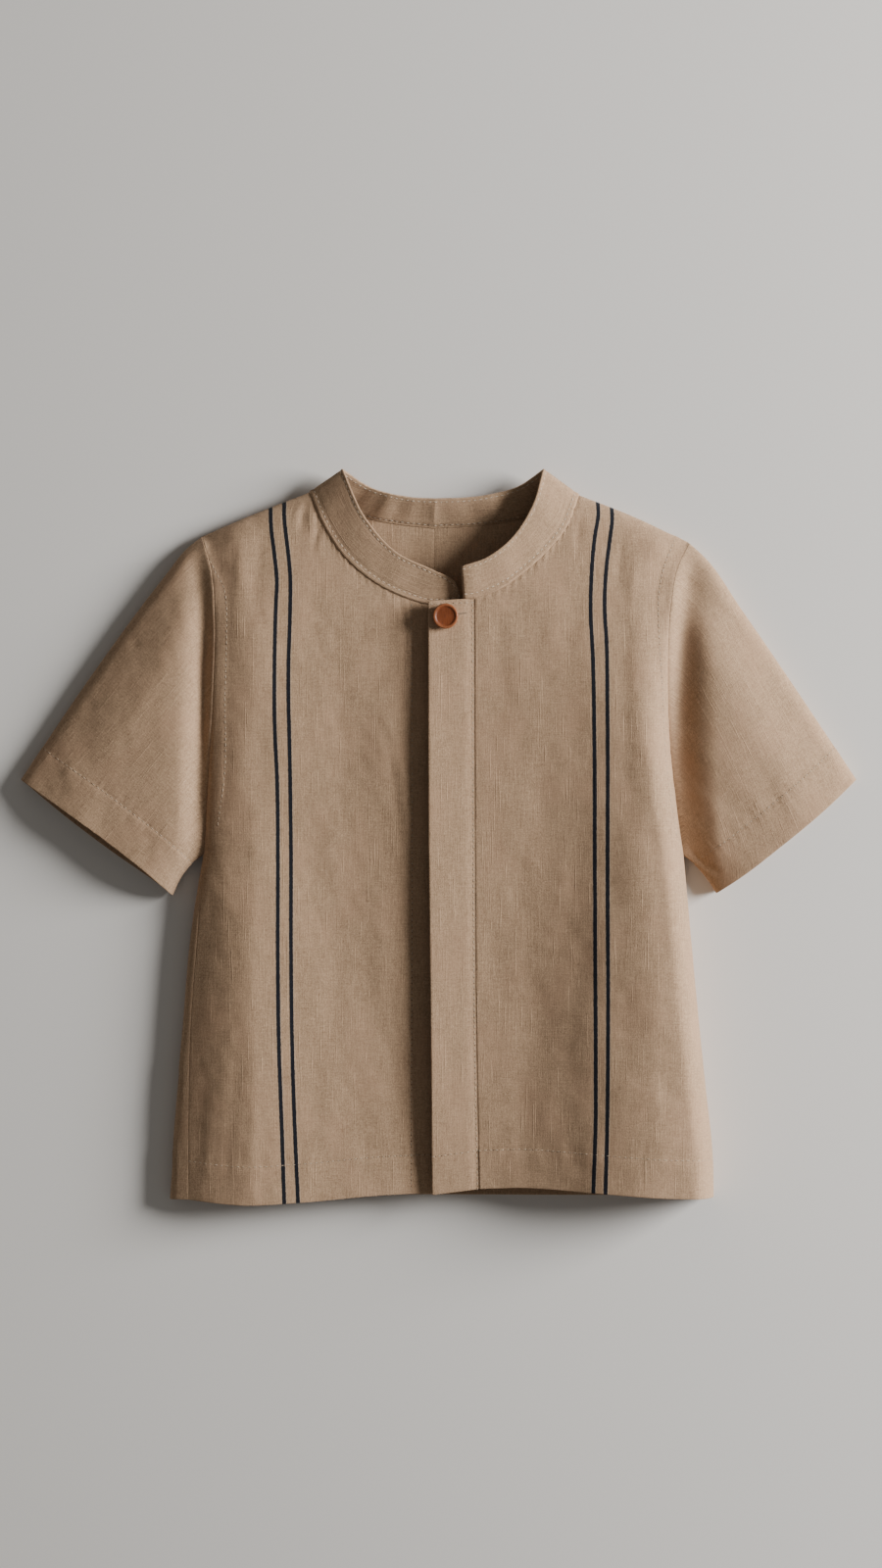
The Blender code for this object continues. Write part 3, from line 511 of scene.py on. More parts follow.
# Sleeves: a flattened tube whose rings run over the top from the fold to the underarm and back beneath
rightSleeve = {
    "topFold": ((-144.5, 183), (-153.6, 175.8), (-166.2, 160.2), (-216, 92.4), (-254.9, 34.7)),
    "underarm": ((-143, -9), (-151, -15.5), (-158.5, -25), (-163.3, -35.2)),
    "cuff": ((-254.9, 34.7), (-201.2, -3.6), (-174.8, -24.6), (-163.3, -35.2)),
    "crown": ((0, 20), (0.7, 21), (1, 18)),    # share of the way from fold to underarm, height
    "atCuff": 0.82,
    "rise": 28,
    "valley": ((0, 0), (0.12, 3.5), (0.3, 5.5), (0.55, 6.5), (0.8, 4), (1, 0)),
    "middle": 9.5,
    "peek": 3.8,
}
leftSleeve = {
    "topFold": ((152.4, 179), (162.2, 170), (184.2, 138.8), (223.2, 81.6), (254.3, 34.7)),
    "underarm": ((148.6, -10), (156.6, -16.5), (164.5, -25.5), (170, -33.9)),
    "cuff": ((254.3, 34.7), (236, 17.6), (209.6, -4.4), (183.2, -25), (170, -33.9)),
    "crown": ((0, 20.5), (0.35, 22), (0.7, 20), (1, 15)),
    "atCuff": 0.86,
    "rise": 40,
    "valley": ((0, 0), (0.12, 5.5), (0.3, 7), (0.5, 5.5), (0.75, 2.5), (1, 0)),
    "middle": 12.5,
    "peek": 0.6,
}
sleeveRounding = {"foldEdge": 7.0, "foldEdgeShare": 0.3, "foldSlope": 46.0, "underRoll": 24.0, "rimTop": 5.0,
                  "rimUnder": 6.0, "blend": 28.0, "peekSharp": 6, "row": 2.0, "underarmClear": 1.2,
                  "underarmSharp": 8}


def makeSleeve(name, side, sleeve):
    topFold, underarm, cuff = Line(sleeve["topFold"]), Line(sleeve["underarm"]), Line(sleeve["cuff"])
    across = (1 - side.armShares)[::-1]
    arm = side.edge.at((side.underarm + (1 - side.underarm) * side.armShares)[::-1])
    length = topFold.length
    reach = np.linspace(0, length, int(length / sleeveRounding["row"]))
    rows = np.sort(np.concatenate([reach, [0.25, 0.7, length - 0.7, length - 0.25]])) / length
    s, w = rows[:, None], across[None]
    plan = ((1 - w)[..., None] * topFold.at(rows)[:, None] + w[..., None] * underarm.at(rows)[:, None]
            + (1 - s)[..., None] * arm + s[..., None] * cuff.at(across)
            - (1 - s)[..., None] * ((1 - w)[..., None] * arm[0] + w[..., None] * arm[-1])
            - s[..., None] * ((1 - w)[..., None] * cuff.at(0) + w[..., None] * cuff.at(1)))
    armFront, armBack = side.frontHeight(arm[:, 0], arm[:, 1]), side.backHeight(arm[:, 0], arm[:, 1])
    width = np.linalg.norm(topFold.at(rows) - underarm.at(rows), axis=1)[:, None]
    out = s * ((1 - w) * topFold.length + w * underarm.length)
    rimTop = between(rounding["shoulderTip"], sleeveRounding["rimTop"], s)
    rimUnder = column(side.cut["rim"], 1, arm[-1, 1]) * (1 - s) + sleeveRounding["rimUnder"] * s
    rim = between(rimTop, rimUnder, w)
    crown = column(sleeve["crown"], 1, across)
    tall = crown * (1 + (sleeve["atCuff"] - 1) * s)
    rise = sleeveRounding["foldEdgeShare"] * arch(w * width / sleeveRounding["foldEdge"])
    rise = rise + (1 - sleeveRounding["foldEdgeShare"]) * ease(w * width / sleeveRounding["foldSlope"])
    over = between(rim, tall, rise * arch((1 - w) * width / sleeveRounding["underRoll"]))
    over = between(armFront, over, ease(out / sleeve["rise"]))
    dip = out / sleeve["middle"]
    dip = (dip * np.exp(1 - dip)) ** 2
    over = over - column(sleeve["valley"], 1, across) * dip
    floor = wall["out"]
    under = floor + (rimTop - floor) * cove(w * width / rounding["backRim"])
    under = under + (rimUnder - floor) * cove((1 - w) * width / rounding["backRim"])
    under = between(armBack, under, ease(out / sleeveRounding["blend"]))
    away = unit(cuff.at(0.5) - arm[len(arm) // 2])
    peek = sleeve["peek"] * np.sin(math.pi * w) * s ** sleeveRounding["peekSharp"]
    upper = np.concatenate([plan, over[..., None]], axis=-1)
    lower = np.concatenate([plan + away * peek[..., None], under[..., None]], axis=-1)[:, 1:-1][:, ::-1]
    panel = Panel(name, np.concatenate([upper, lower], axis=1), wall["out"], wall["in"],
                  (len(across) // 2, 1), ring=True)
    panel.inside += wall["hem"] * (1 - smooth((panel.high - wall["hemDepth"]) / wall["hemStep"]))
    panel.upper = len(across)
    return panel


# The standing band, ruled from the panels' neck edges up to its own top edge
band = {
    "topRight": ((12.2, 149), (9.2, 155.6), (-3.1, 162.3), (-25.2, 172.8), (-44.7, 194.2), (-58.2, 223.5)),
    "topBack": ((-58.2, 223.5), (-42.1, 213.4), (-23, 208), (3.8, 206.4), (29.6, 208.6), (48, 213.6),
                (63.1, 223.5)),
    "topLeft": ((63.1, 223.5), (56.9, 202.2), (39.8, 177.6), (28.7, 169.8), (13.4, 164.4)),
    "rightTilt": ((0, 6), (0.6, 7), (1, 13)),   # share of the way, degrees above the table
    "leftTilt": ((0, 9), (0.6, 10), (1, 13)),
    "backTilt": ((0, 13), (0.16, 18), (0.5, 24), (0.84, 18), (1, 13)),
    "placketShare": 0.75,
}


def makeBand(frontRight, frontLeft, backRight, backLeft, placket):
    seamRight = frontRight.points[-1, :frontRight.neckColumns + 1]
    seamBack = np.vstack([backRight.points[-1, :backRight.neckColumns + 1][::-1][1:],
                          backLeft.points[-1, 1:backLeft.neckColumns]])
    onPlacket = placket.points[-1, placket.start[-1] > band["placketShare"] * placket.start[-1, -1]]
    seamLeft = np.vstack([frontLeft.points[-1, :frontLeft.neckColumns + 1][::-1], onPlacket[::-1][1:]])
    lower, upper = [], []
    for seam, top, tilt in ((seamRight, "topRight", "rightTilt"), (seamBack, "topBack", "backTilt"),
                            (seamLeft, "topLeft", "leftTilt")):
        whole = np.vstack([seamRight[-1:], seam, seamLeft[:1]]) if top == "topBack" else seam
        shares = runOf(whole[:, :2]) / runOf(whole[:, :2])[-1]
        shares = shares[1:-1] if top == "topBack" else shares
        table = np.array(band[tilt])
        along = 1 - shares if top == "topLeft" else shares
        slope = np.tan(np.radians(np.interp(along, table[:, 0], table[:, 1])))
        edge = Line(band[top]).at(shares)
        rise = np.linalg.norm(edge - seam[:, :2], axis=1) * slope
        lower.append(seam)
        upper.append(np.column_stack([edge, seam[:, 2] + rise]))
    lower, upper = np.vstack(lower), np.vstack(upper)
    shares = np.sort(np.append(np.linspace(0, 1, grid["bandRows"]), [0.012, 0.03, 0.97, 0.988]))
    points = [lower + (upper - lower) * share for share in shares]
    panel = Panel("neckband", points, wall["bandOut"], wall["bandIn"], (30, 1))
    panel.parts = (len(seamRight), len(seamRight) + len(seamBack))
    return panel


right, left = Side(rightSide), Side(leftSide)
frontRight, frontLeft, backRight, backLeft = makeBody(right, left)
placket = makePlacket(left)
sleeveRight = makeSleeve("sleeve_right", right, rightSleeve)
sleeveLeft = makeSleeve("sleeve_left", left, leftSleeve)
neckband = makeBand(frontRight, frontLeft, backRight, backLeft, placket)
panels = [frontRight, frontLeft, backRight, backLeft, placket, sleeveRight, sleeveLeft, neckband]
print("panels shaped:", {panel.name: panel.points.shape[:2] for panel in panels})


# Creases, listed one by one: start x, y, end x, y, sideways bow, half width, height (minus is a trough)
creases = {
    "front_right": (
        (-34, 68, -23, -8, -2, 3, -0.45),
        (-30, 64, -18, -12, -2, 3.8, 0.4),
        (-20.5, 142, -15, 126, 0.6, 0.9, 0.4),
        (-23.5, 143, -17.4, 122, 0.8, 1, -0.4),
        (-27, 144, -22.5, 131, 0.4, 1, 0.3),
        (-16.8, 140, -17.2, 60, 0.5, 1.1, 0.45),
        (-19.5, 140, -20.5, 100, 0.5, 1.4, -0.35),
        (-52, -34, -38, -120, 3, 9, -0.4),
        (-120, -120, -128, -214, 2, 4.6, -0.4),
        (-112, -150, -118, -216, -1, 3.6, 0.3),
        (-138, -150, -142, -214, 0, 3.6, 0.3),
        (-80, 204, -84, 186, 1, 1.6, -0.8),
        (-84.5, 203, -88.5, 189, 0.5, 1.4, 0.6),
        (-76, 198, -77, 184, 1, 1.5, 0.7),
        (-72.5, 190, -76, 172, 1, 1.8, -0.5),
        (-106, 188, -112, 130, 2, 4, -0.5),
        (-119, 184, -122, 140, 1, 3, 0.45),
    ),
    "front_left": (
        (60, 60, 66, -30, 2, 9, -0.35),
        (74, -140, 84, -206, 2, 8, -0.6),
        (112, 120, 116, 10, 2, 4.6, -0.3),
        (118, 130, 124, 40, 2, 4, 0.3),
        (128, -110, 138, -208, 2, 6, 0.3),
        (122, 176, 116, 130, 1, 3, 0.5),
        (112, 184, 108, 150, 0, 2.6, -0.45),
        (86, 200, 84, 170, 0, 2.4, -0.5),
        (36, 140, 44, 70, 2, 6, -0.5),
    ),
    "sleeve_right": (
        (-215, 62, -196, 14, 2, 8, -0.35),
        (-228, 66, -222, 26, 1, 6, 0.35),
        (-188, 110, -206, 62, 3, 8, 0.4),
        (-176, 20, -176, -22, 1, 4.4, -0.3),
        (-204, 24, -206, 2, 0, 4, -0.25),
    ),
    "sleeve_left": (
        (196, 60, 210, 6, 2, 7, -0.35),
        (206, 40, 220, 8, 1, 6, 0.3),
        (222, 48, 234, 22, 1, 5, -0.25),
        (168, 24, 172, -26, 1, 4, 0.3),
        (150, -4, 172, -22, 2, 2, -1),
    ),
    "back_right": (
        (-24, 188, -30, 120, 2, 5, 0.5),
        (-60, 80, -70, -60, 4, 10, 0.6),
    ),
    "back_left": (
        (22, 186, 28, 120, -2, 5, 0.5),
        (60, 80, 72, -60, -4, 10, 0.6),
    ),
}
undulation = {  # soft waves all over: how many, lengths across and along, and height in all
    "seed": 7,
    "count": 26,
    "across": (16.0, 60.0),
    "along": (60.0, 240.0),
    "height": 0.12,
    "crumples": 30,
    "crumple": (9.0, 24.0),
    "crumpleHeight": 0.05,
}


def creased(name, x, y):
    total = np.zeros_like(x)
    for x0, y0, x1, y1, bow, width, height in creases.get(name, ()):
        length = math.hypot(x1 - x0, y1 - y0)
        alongX, alongY = (x1 - x0) / length, (y1 - y0) / length
        t = ((x - x0) * alongX + (y - y0) * alongY) / length
        aside = (x - x0) * alongY - (y - y0) * alongX - bow * 4 * np.clip(t, 0, 1) * (1 - np.clip(t, 0, 1))
        fade = np.sin(math.pi * np.clip(t * 0.9 + 0.05, 0, 1)) * ((t > -0.05) & (t < 1.05))
        total += height * ridge(aside, width) * np.clip(fade, 0, 1)
    return total


def undulating(x, y, turn, seed):
    random = np.random.default_rng(undulation["seed"] + seed)
    across = x * math.cos(turn) + y * math.sin(turn)
    along = -x * math.sin(turn) + y * math.cos(turn)
    total = np.zeros_like(x)
    for _ in range(undulation["count"]):
        wide, tall = random.uniform(*undulation["across"]), random.uniform(*undulation["along"])
        phase, lean = random.uniform(0, 2 * math.pi), random.choice((-1, 1))
        total += np.sin(2 * math.pi * (across / wide + lean * along / tall) + phase) * wide / 40
    total *= undulation["height"] / math.sqrt(undulation["count"] / 2)
    small = np.zeros_like(x)
    for _ in range(undulation["crumples"]):
        size, angle = random.uniform(*undulation["crumple"]), random.uniform(0, math.pi)
        phase = random.uniform(0, 2 * math.pi)
        small += np.sin(2 * math.pi * (x * math.cos(angle) + y * math.sin(angle)) / size + phase)
    return total + small * undulation["crumpleHeight"] / math.sqrt(undulation["crumples"] / 2)


# Seams and sewing lines that dent or raise the cloth
sewing = {
    "groove": 0.22,
    "grooveWidth": 0.8,
    "pucker": 0.09,
    "puckerReach": 6.0,
    "puckerPitch": 7.5,
    "ripples": (0.62, 1.0, 1.37, 1.9, 2.7),     # lengths of the puckers, as shares of their pitch
    "hemRise": 0.2,         # the folded cloth of a hem stands a little higher
    "hemRiseWidth": 2.5,
    "felledRise": 0.42,     # the seam allowance lies under a low step beside the armhole
    "gather": 0.3,
    "gatherPitch": 6.3,
    "gatherReach": 5.0,
    "felledWidth": 1.5,
    "centreSeam": (2.0, 0.8, -0.35),    # distance from the centre back, half width, height
    "placketSeam": 1.4,
    "placketStitch": 1.5,
    "placketStitchTop": (20.3, 141.0),
    "placketTop": ((-4.6, 141.6), (20.0, 142.6)),
    "bandTop": 1.9,
    "bandLow": 3.0,
    "bandLowInside": 2.2,
    "sleeveRun": 260.0,
    "armRight": ((-145.4, 178.0), (-141.2, 171.5), (-136.2, 161.5), (-131.1, 152.2), (-129.4, 141.6),
                 (-129.2, 123.6), (-129.6, 104.6), (-130.2, 87.0), (-130.4, 40.0), (-134.6, 8.0)),
    "armLeft": ((143.4, 180.6), (137.4, 166.2), (133.6, 149.1), (133.2, 130.8), (134.3, 109.4),
                (135.6, 89.6), (136.2, 72.6), (138.4, 40.0), (144.0, 2.0)),
    "underlap": ((-17.0, -214.0), (-16.4, 60.0), (-16.8, 141.0)),
}
fades = {  # distances from an edge over which creases and sewing grow to their full height
    "side": 9.0,
    "top": 6.0,
    "sewing": 5.0,
    "hemEnd": 8.0,
    "armSewing": 30.0,
    "armSeam": 12.0,
    "foldShare": 0.12,
    "underarm": 6.0,
    "wrap": 14.0,
    "bandEnd": 1.5,
}


def besideSewing(distance, run, seed):  # a groove at the thread with small uneven puckers to both sides
    random = np.random.default_rng(seed)
    ripple = sum(np.sin(2 * math.pi * run / (sewing["puckerPitch"] * size) + random.uniform(0, 6.3))
                 for size in sewing["ripples"]) / 2.2
    near = ridge(distance, sewing["puckerReach"])
    return ripple * sewing["pucker"] * near - sewing["groove"] * ridge(distance, sewing["grooveWidth"])


def hemRise(distance):
    return sewing["hemRise"] * (1 - smooth((distance - wall["hemDepth"] + 1) / sewing["hemRiseWidth"]))


def shapeFront(panel, arm, seed):
    x, y = panel.points[..., 0], panel.points[..., 1]
    inside = smooth(np.minimum(panel.start, panel.end) / fades["side"]) * smooth(panel.high / fades["top"])
    relief = (creased(panel.name, x, y) + undulating(x, y, 0, seed)) * inside
    ends = smooth(panel.start / fades["sewing"]) * smooth(panel.end / fades["sewing"])
    relief += besideSewing(panel.low - wall["hemDepth"], x, seed) * ends
    relief += hemRise(panel.low) * smooth(panel.end / fades["hemEnd"])
    gap = np.abs(Line(sewing[arm]).xAt(y)) - np.abs(x)
    felled = sewing["felledRise"] * smooth((sewing["felledWidth"] - gap) / 2) * smooth(panel.end / 2)
    relief += (felled + besideSewing(gap, y, seed + 3)) * smooth(y / fades["armSewing"])
    neckGap = panel.high + np.where(np.arange(x.shape[1]) > panel.neckColumns, 1e3, 0)
    wave = sewing["gather"] * np.sin(2 * math.pi * panel.start / sewing["gatherPitch"])
    relief += wave * ridge(neckGap, sewing["gatherReach"]) * smooth(neckGap / 2)
    panel.shape(relief)


def shapeSleeve(panel, seed, turn):
    x, y = panel.points[..., 0], panel.points[..., 1]
    upper = (np.arange(x.shape[1]) < panel.upper)[None]
    down = np.concatenate([np.linspace(0, 1, panel.upper), np.linspace(1, 0, x.shape[1] - panel.upper)])
    sides = smooth(np.minimum(down, 1 - down) / fades["foldShare"])[None]
    fade = sides * smooth(panel.low / fades["armSeam"]) * upper
    relief = (creased(panel.name, x, y) + undulating(x, y, turn, seed)) * fade
    run = np.linspace(0, 1, x.shape[1])[None] * sewing["sleeveRun"]
    relief = relief + (besideSewing(panel.high - wall["hemDepth"], run, seed) + hemRise(panel.high)) * upper
    panel.shape(relief)
    clear = sleeveRounding["underarmClear"] * down ** sleeveRounding["underarmSharp"]
    away = unit(panel.points[1] - panel.points[0]) * clear[:, None]
    panel.points += away[None] * np.exp(-panel.low / fades["underarm"])[..., None]


def shapeBack(panel, seed):
    x, y = panel.points[..., 0], panel.points[..., 1]
    inside = smooth(panel.start / fades["top"]) * smooth((panel.end - 12) / fades["wrap"])
    inside = inside * smooth(panel.high / fades["top"])
    relief = -np.abs(creased(panel.name, x, y) + undulating(x, y, 0, seed) * 0.6) * inside
    place, width, height = sewing["centreSeam"]
    allowance = ridge(panel.start - place, width) * height
    panel.shape((relief + allowance) * smooth(panel.low / 4))


ripples = (  # ripples across the back of the band: place along it from right to left, half width, height
    (0.09, 1.5, -0.5), (0.13, 1.5, 0.45), (0.175, 1.3, -0.5), (0.215, 1.5, 0.5), (0.26, 1.4, -0.55),
    (0.305, 1.6, 0.45), (0.36, 1.3, -0.5), (0.40, 1.6, 0.4), (0.455, 1.5, -0.45), (0.50, 1.4, 0.4),
    (0.56, 1.5, -0.4), (0.62, 1.7, 0.35), (0.69, 1.6, -0.4), (0.76, 1.8, 0.35), (0.84, 1.7, -0.35),
    (0.91, 1.8, 0.3),
)


bandWaves = ((0.2, 9.3, 1), (0.14, 5.1, 0), (0.10, 3.3, 2))     # height, length, phase


def bandSeams(panel):  # the turned edges and their rows of stitches: distance, place, half width, height
    return ((panel.low, 1.3, 0.9, 0.4), (panel.low, sewing["bandLow"], 0.8, -0.3),
            (panel.high, 0.8, 0.7, 0.2), (panel.high, sewing["bandTop"], 0.6, -0.22))


def shapeBand(panel):
    first, last = panel.parts
    run = runOf(panel.points[len(panel.points) // 2])
    span = run[last] - run[first]
    share = np.clip((run - run[first]) / span, -1, 2)
    across = panel.low / (panel.low + panel.high)
    relief = np.zeros(panel.points.shape[:2])
    for place, width, height in ripples:
        relief += height * ridge((share - place) * span, width) * np.sin(math.pi * across) ** 0.8
    wave = sum(height * np.sin(run / length + phase) for height, length, phase in bandWaves)
    relief += wave * np.sin(math.pi * across)
    for distance, place, width, height in bandSeams(panel):
        relief += height * ridge(distance - place, width)
    panel.shape(relief * smooth(panel.start / fades["bandEnd"]) * smooth(panel.end / fades["bandEnd"]))


def shapePlacket(panel, seed):
    x, y = panel.points[..., 0], panel.points[..., 1]
    edges = smooth(panel.end / fades["top"])
    relief = undulating(x, y, 0, seed) * 0.5 * edges * smooth(panel.high / fades["top"])
    relief += besideSewing(panel.end - sewing["placketSeam"], y, seed) * 0.35 * smooth(panel.end)
    relief += besideSewing(panel.low - wall["hemDepth"], x, seed + 2) * 0.6 * edges
    panel.shape(relief)


sleeveTurns = {"sleeve_right": math.radians(-40), "sleeve_left": math.radians(40)}
shapeFront(frontRight, "armRight", 1)
shapeFront(frontLeft, "armLeft", 2)
shapeSleeve(sleeveRight, 5, sleeveTurns["sleeve_right"])
shapeSleeve(sleeveLeft, 6, sleeveTurns["sleeve_left"])
shapeBack(backRight, 8)
shapeBack(backLeft, 9)
shapePlacket(placket, 11)
shapeBand(neckband)
meetAtSeams(panels)
print("creases and seams laid in")

# Stripes: two pairs of dark threads in the fronts, each by its places down the shirt
stripes = {
    "front_right": (
        ((-94, -224), (-95.4, -180.6), (-97.3, -126), (-98, -70.8), (-98, -15.6), (-98.5, 35.7),
         (-99.9, 67.8), (-100, 108), (-99.2, 140.4), (-98.6, 156), (-100.3, 173.4), (-102.1, 187.8),
         (-102.7, 203)),
        ((-85.6, -224), (-87.5, -180.6), (-89.3, -126), (-90, -70.8), (-90.1, -4.2), (-90.7, 43.8),
         (-91.6, 100.2), (-90.5, 140.4), (-90.4, 157.2), (-91.7, 172.2), (-93.2, 184.8), (-94.3, 196.2),
         (-94.2, 206)),
    ),
    "front_left": (
        ((93.4, -218), (94.9, -166.2), (94.9, -147.6), (94.5, -26.4), (94.2, 63.6), (93.4, 108.6),
         (92.1, 141), (92.6, 156.9), (93.7, 172.8), (95.3, 186), (97, 195.6), (96.4, 207)),
        ((100.7, -218), (101.8, -172.2), (102.1, -147.6), (102.1, -26.4), (102.1, 79.8), (101.5, 121.8),
         (100.6, 137.4), (101, 153.6), (102.2, 168), (104.2, 182.6), (105.5, 193.8), (104.9, 204)),
    ),
}
for panel in (frontRight, frontLeft):
    x, y = panel.points[..., 0], panel.points[..., 1]
    panel.stripes = np.stack([x - Line(line).xAt(y) for line in stripes[panel.name]], axis=-1)


# Meshes
def clothUv(panel, turn):  # metres along and across the weave; rings carry on round
    points = panel.closedPoints()
    x = points[..., 0] * math.cos(turn) + points[..., 1] * math.sin(turn)
    y = -points[..., 0] * math.sin(turn) + points[..., 1] * math.cos(turn)
    steps = np.hypot(np.diff(x, axis=1), np.diff(points[..., 2], axis=1))
    sign = 1 if panel.ring else np.sign(x[:, -1:] - x[:, :1])
    u = x[:, :1] + sign * np.concatenate([np.zeros((len(x), 1)), np.cumsum(steps, axis=1)], axis=1)
    return np.stack([u, y], axis=-1) * mm


def bandUv(panel):
    run = runOf(panel.points[panel.points.shape[0] // 2])
    return np.stack([panel.low, np.broadcast_to(run, panel.low.shape)], axis=-1) * mm


def setVectors(mesh, name, vectors):  # one vector for each point of a mesh
    layer = mesh.attributes.new(name, "FLOAT_VECTOR", "POINT")
    layer.data.foreach_set("vector", np.array(vectors, np.float32).reshape(-1))


def placed(name, data):
    made = bpy.data.objects.new(name, data)
    bpy.context.scene.collection.objects.link(made)
    return made


def clothMesh(panel, uv, material):
    outside, inside = panel.faces()
    rows, columns = outside.shape[:2]
    wide = columns if panel.ring else columns - 1
    number = np.arange(rows * columns).reshape(rows, columns)
    back = rows * columns
    i, j = np.meshgrid(np.arange(rows - 1), np.arange(wide), indexing="ij")
    quads, corners = [], []

    def add(a, b, c, d):  # four corners, each as (row, column, layer)
        four = (a, b, c, d)
        quads.append(np.stack([number[r, k % columns] + back * layer for r, k, layer in four], axis=-1))
        corners.append(np.stack([np.stack([r, k], axis=-1) for r, k, _ in four], axis=-2))

    add((i, j, 0), (i, j + 1, 0), (i + 1, j + 1, 0), (i + 1, j, 0))
    add((i + 1, j, 1), (i + 1, j + 1, 1), (i, j + 1, 1), (i, j, 1))
    line = np.arange(wide)
    zero, top = 0 * line, 0 * line + rows - 1
    add((zero, line + 1, 0), (zero, line, 0), (zero, line, 1), (zero, line + 1, 1))
    add((top, line, 0), (top, line + 1, 0), (top, line + 1, 1), (top, line, 1))
    if not panel.ring:
        line = np.arange(rows - 1)
        zero, end = 0 * line, 0 * line + columns - 1
        add((line, zero, 0), (line + 1, zero, 0), (line + 1, zero, 1), (line, zero, 1))
        add((line + 1, end, 0), (line, end, 0), (line, end, 1), (line + 1, end, 1))
    quads = np.concatenate([part.reshape(-1, 4) for part in quads])
    corners = np.concatenate([part.reshape(-1, 4, 2) for part in corners])
    vertices = np.concatenate([outside.reshape(-1, 3), inside.reshape(-1, 3)]) * mm
    a, b, c, d = (vertices[quads[:, k]] for k in range(4))
    if np.sum(np.cross(a, b) * c) + np.sum(np.cross(a, c) * d) < 0:
        quads, corners = quads[:, ::-1], corners[:, ::-1]
    mesh = bpy.data.meshes.new(panel.name)
    mesh.from_pydata(vertices.tolist(), [], quads.tolist())
    layer = mesh.uv_layers.new(name="cloth")
    places = uv[corners[..., 0], corners[..., 1]].reshape(-1)
    layer.data.foreach_set("uv", places.astype(np.float32))
    if panel.stripes is not None:
        both = np.concatenate([panel.stripes.reshape(-1, 2)] * 2)
        vectors = np.concatenate([both, np.zeros((len(both), 1))], axis=1)
        setVectors(mesh, "stripes", vectors)
    mesh.materials.append(material)
    mesh.shade_smooth()
    mesh.validate()
    mesh.update()
    panel.tree = BVHTree.FromPolygons([tuple(v) for v in vertices], [tuple(q) for q in quads.tolist()])
    return placed(panel.name + "_cloth", mesh)


# Shader maths: arithmetic on a wire adds Math nodes, and node() adds any other node
class Wire:
    def __init__(self, tree, socket=None):
        self.tree, self.socket = tree, socket

    def node(self, kind, settings=(), values=(), output=0):
        made = self.tree.nodes.new(kind)
        for name, value in dict(settings).items():
            setattr(made, name, value)
        for name, value in dict(values).items():
            if isinstance(value, Wire):
                self.tree.links.new(value.socket, made.inputs[name])
            else:
                made.inputs[name].default_value = value
        wire = Wire(self.tree, made.outputs[output] if len(made.outputs) else None)
        wire.made = made
        return wire

    def output(self, name):
        return Wire(self.tree, self.made.outputs[name])

    def maths(self, operation, *others):
        return self.node("ShaderNodeMath", {"operation": operation}, dict(enumerate((self,) + others)))

    def __add__(self, other):
        return self.maths("ADD", other)

    def __sub__(self, other):
        return self.maths("SUBTRACT", other)

    def __rsub__(self, other):
        return self.node("ShaderNodeMath", {"operation": "SUBTRACT"}, {0: other, 1: self})

    def __mul__(self, other):
        return self.maths("MULTIPLY", other)

    def __abs__(self):
        return self.maths("ABSOLUTE")

    __radd__ = __add__
    __rmul__ = __mul__

    def scaled(self, amounts):
        return self.node("ShaderNodeVectorMath", {"operation": "MULTIPLY"}, {0: self, 1: amounts})

    def noise(self, amounts, detail=2.0, rough=0.5, shift=0.0):  # minus one half to one half, or nearly
        place = self.node("ShaderNodeVectorMath", {"operation": "MULTIPLY_ADD"},
                          {0: self, 1: amounts, 2: (shift, shift * 0.7, shift * 1.3)})
        return self.node("ShaderNodeTexNoise", {},
                         {"Vector": place, "Scale": 1.0, "Detail": detail, "Roughness": rough}) - 0.5

    def step(self, low, high):  # smooth step from 0 at low to 1 at high
        return self.node("ShaderNodeMapRange", {"interpolation_type": "SMOOTHSTEP"},
                         {"Value": self, "From Min": low, "From Max": high})

    def mixed(self, first, second):  # colours, with this wire as the factor
        return self.node("ShaderNodeMix", {"data_type": "RGBA"}, {0: self, 6: first, 7: second}, output=2)

    def into(self, shader, name):
        self.tree.links.new(self.socket, shader.inputs[name])


def newMaterial(name):
    material = bpy.data.materials.new(name)
    material.use_nodes = True
    shader = material.node_tree.nodes["Principled BSDF"]
    return material, shader, Wire(material.node_tree)


linenLook = {
    "dark": (0.205, 0.121, 0.065, 1.0),
    "light": (0.60, 0.402, 0.250, 1.0),
    "blush": (0.47, 0.285, 0.175, 1.0),
    "navy": (0.0035, 0.004, 0.008, 1.0),
    "navyLight": (0.013, 0.015, 0.024, 1.0),
    "border": (0.52, 0.43, 0.33, 1.0),
    "stripeHalfWidth": 1.22,
    "thread": 0.62,
    "bump": 0.55,
    "bumpDepth": 0.00022,
}


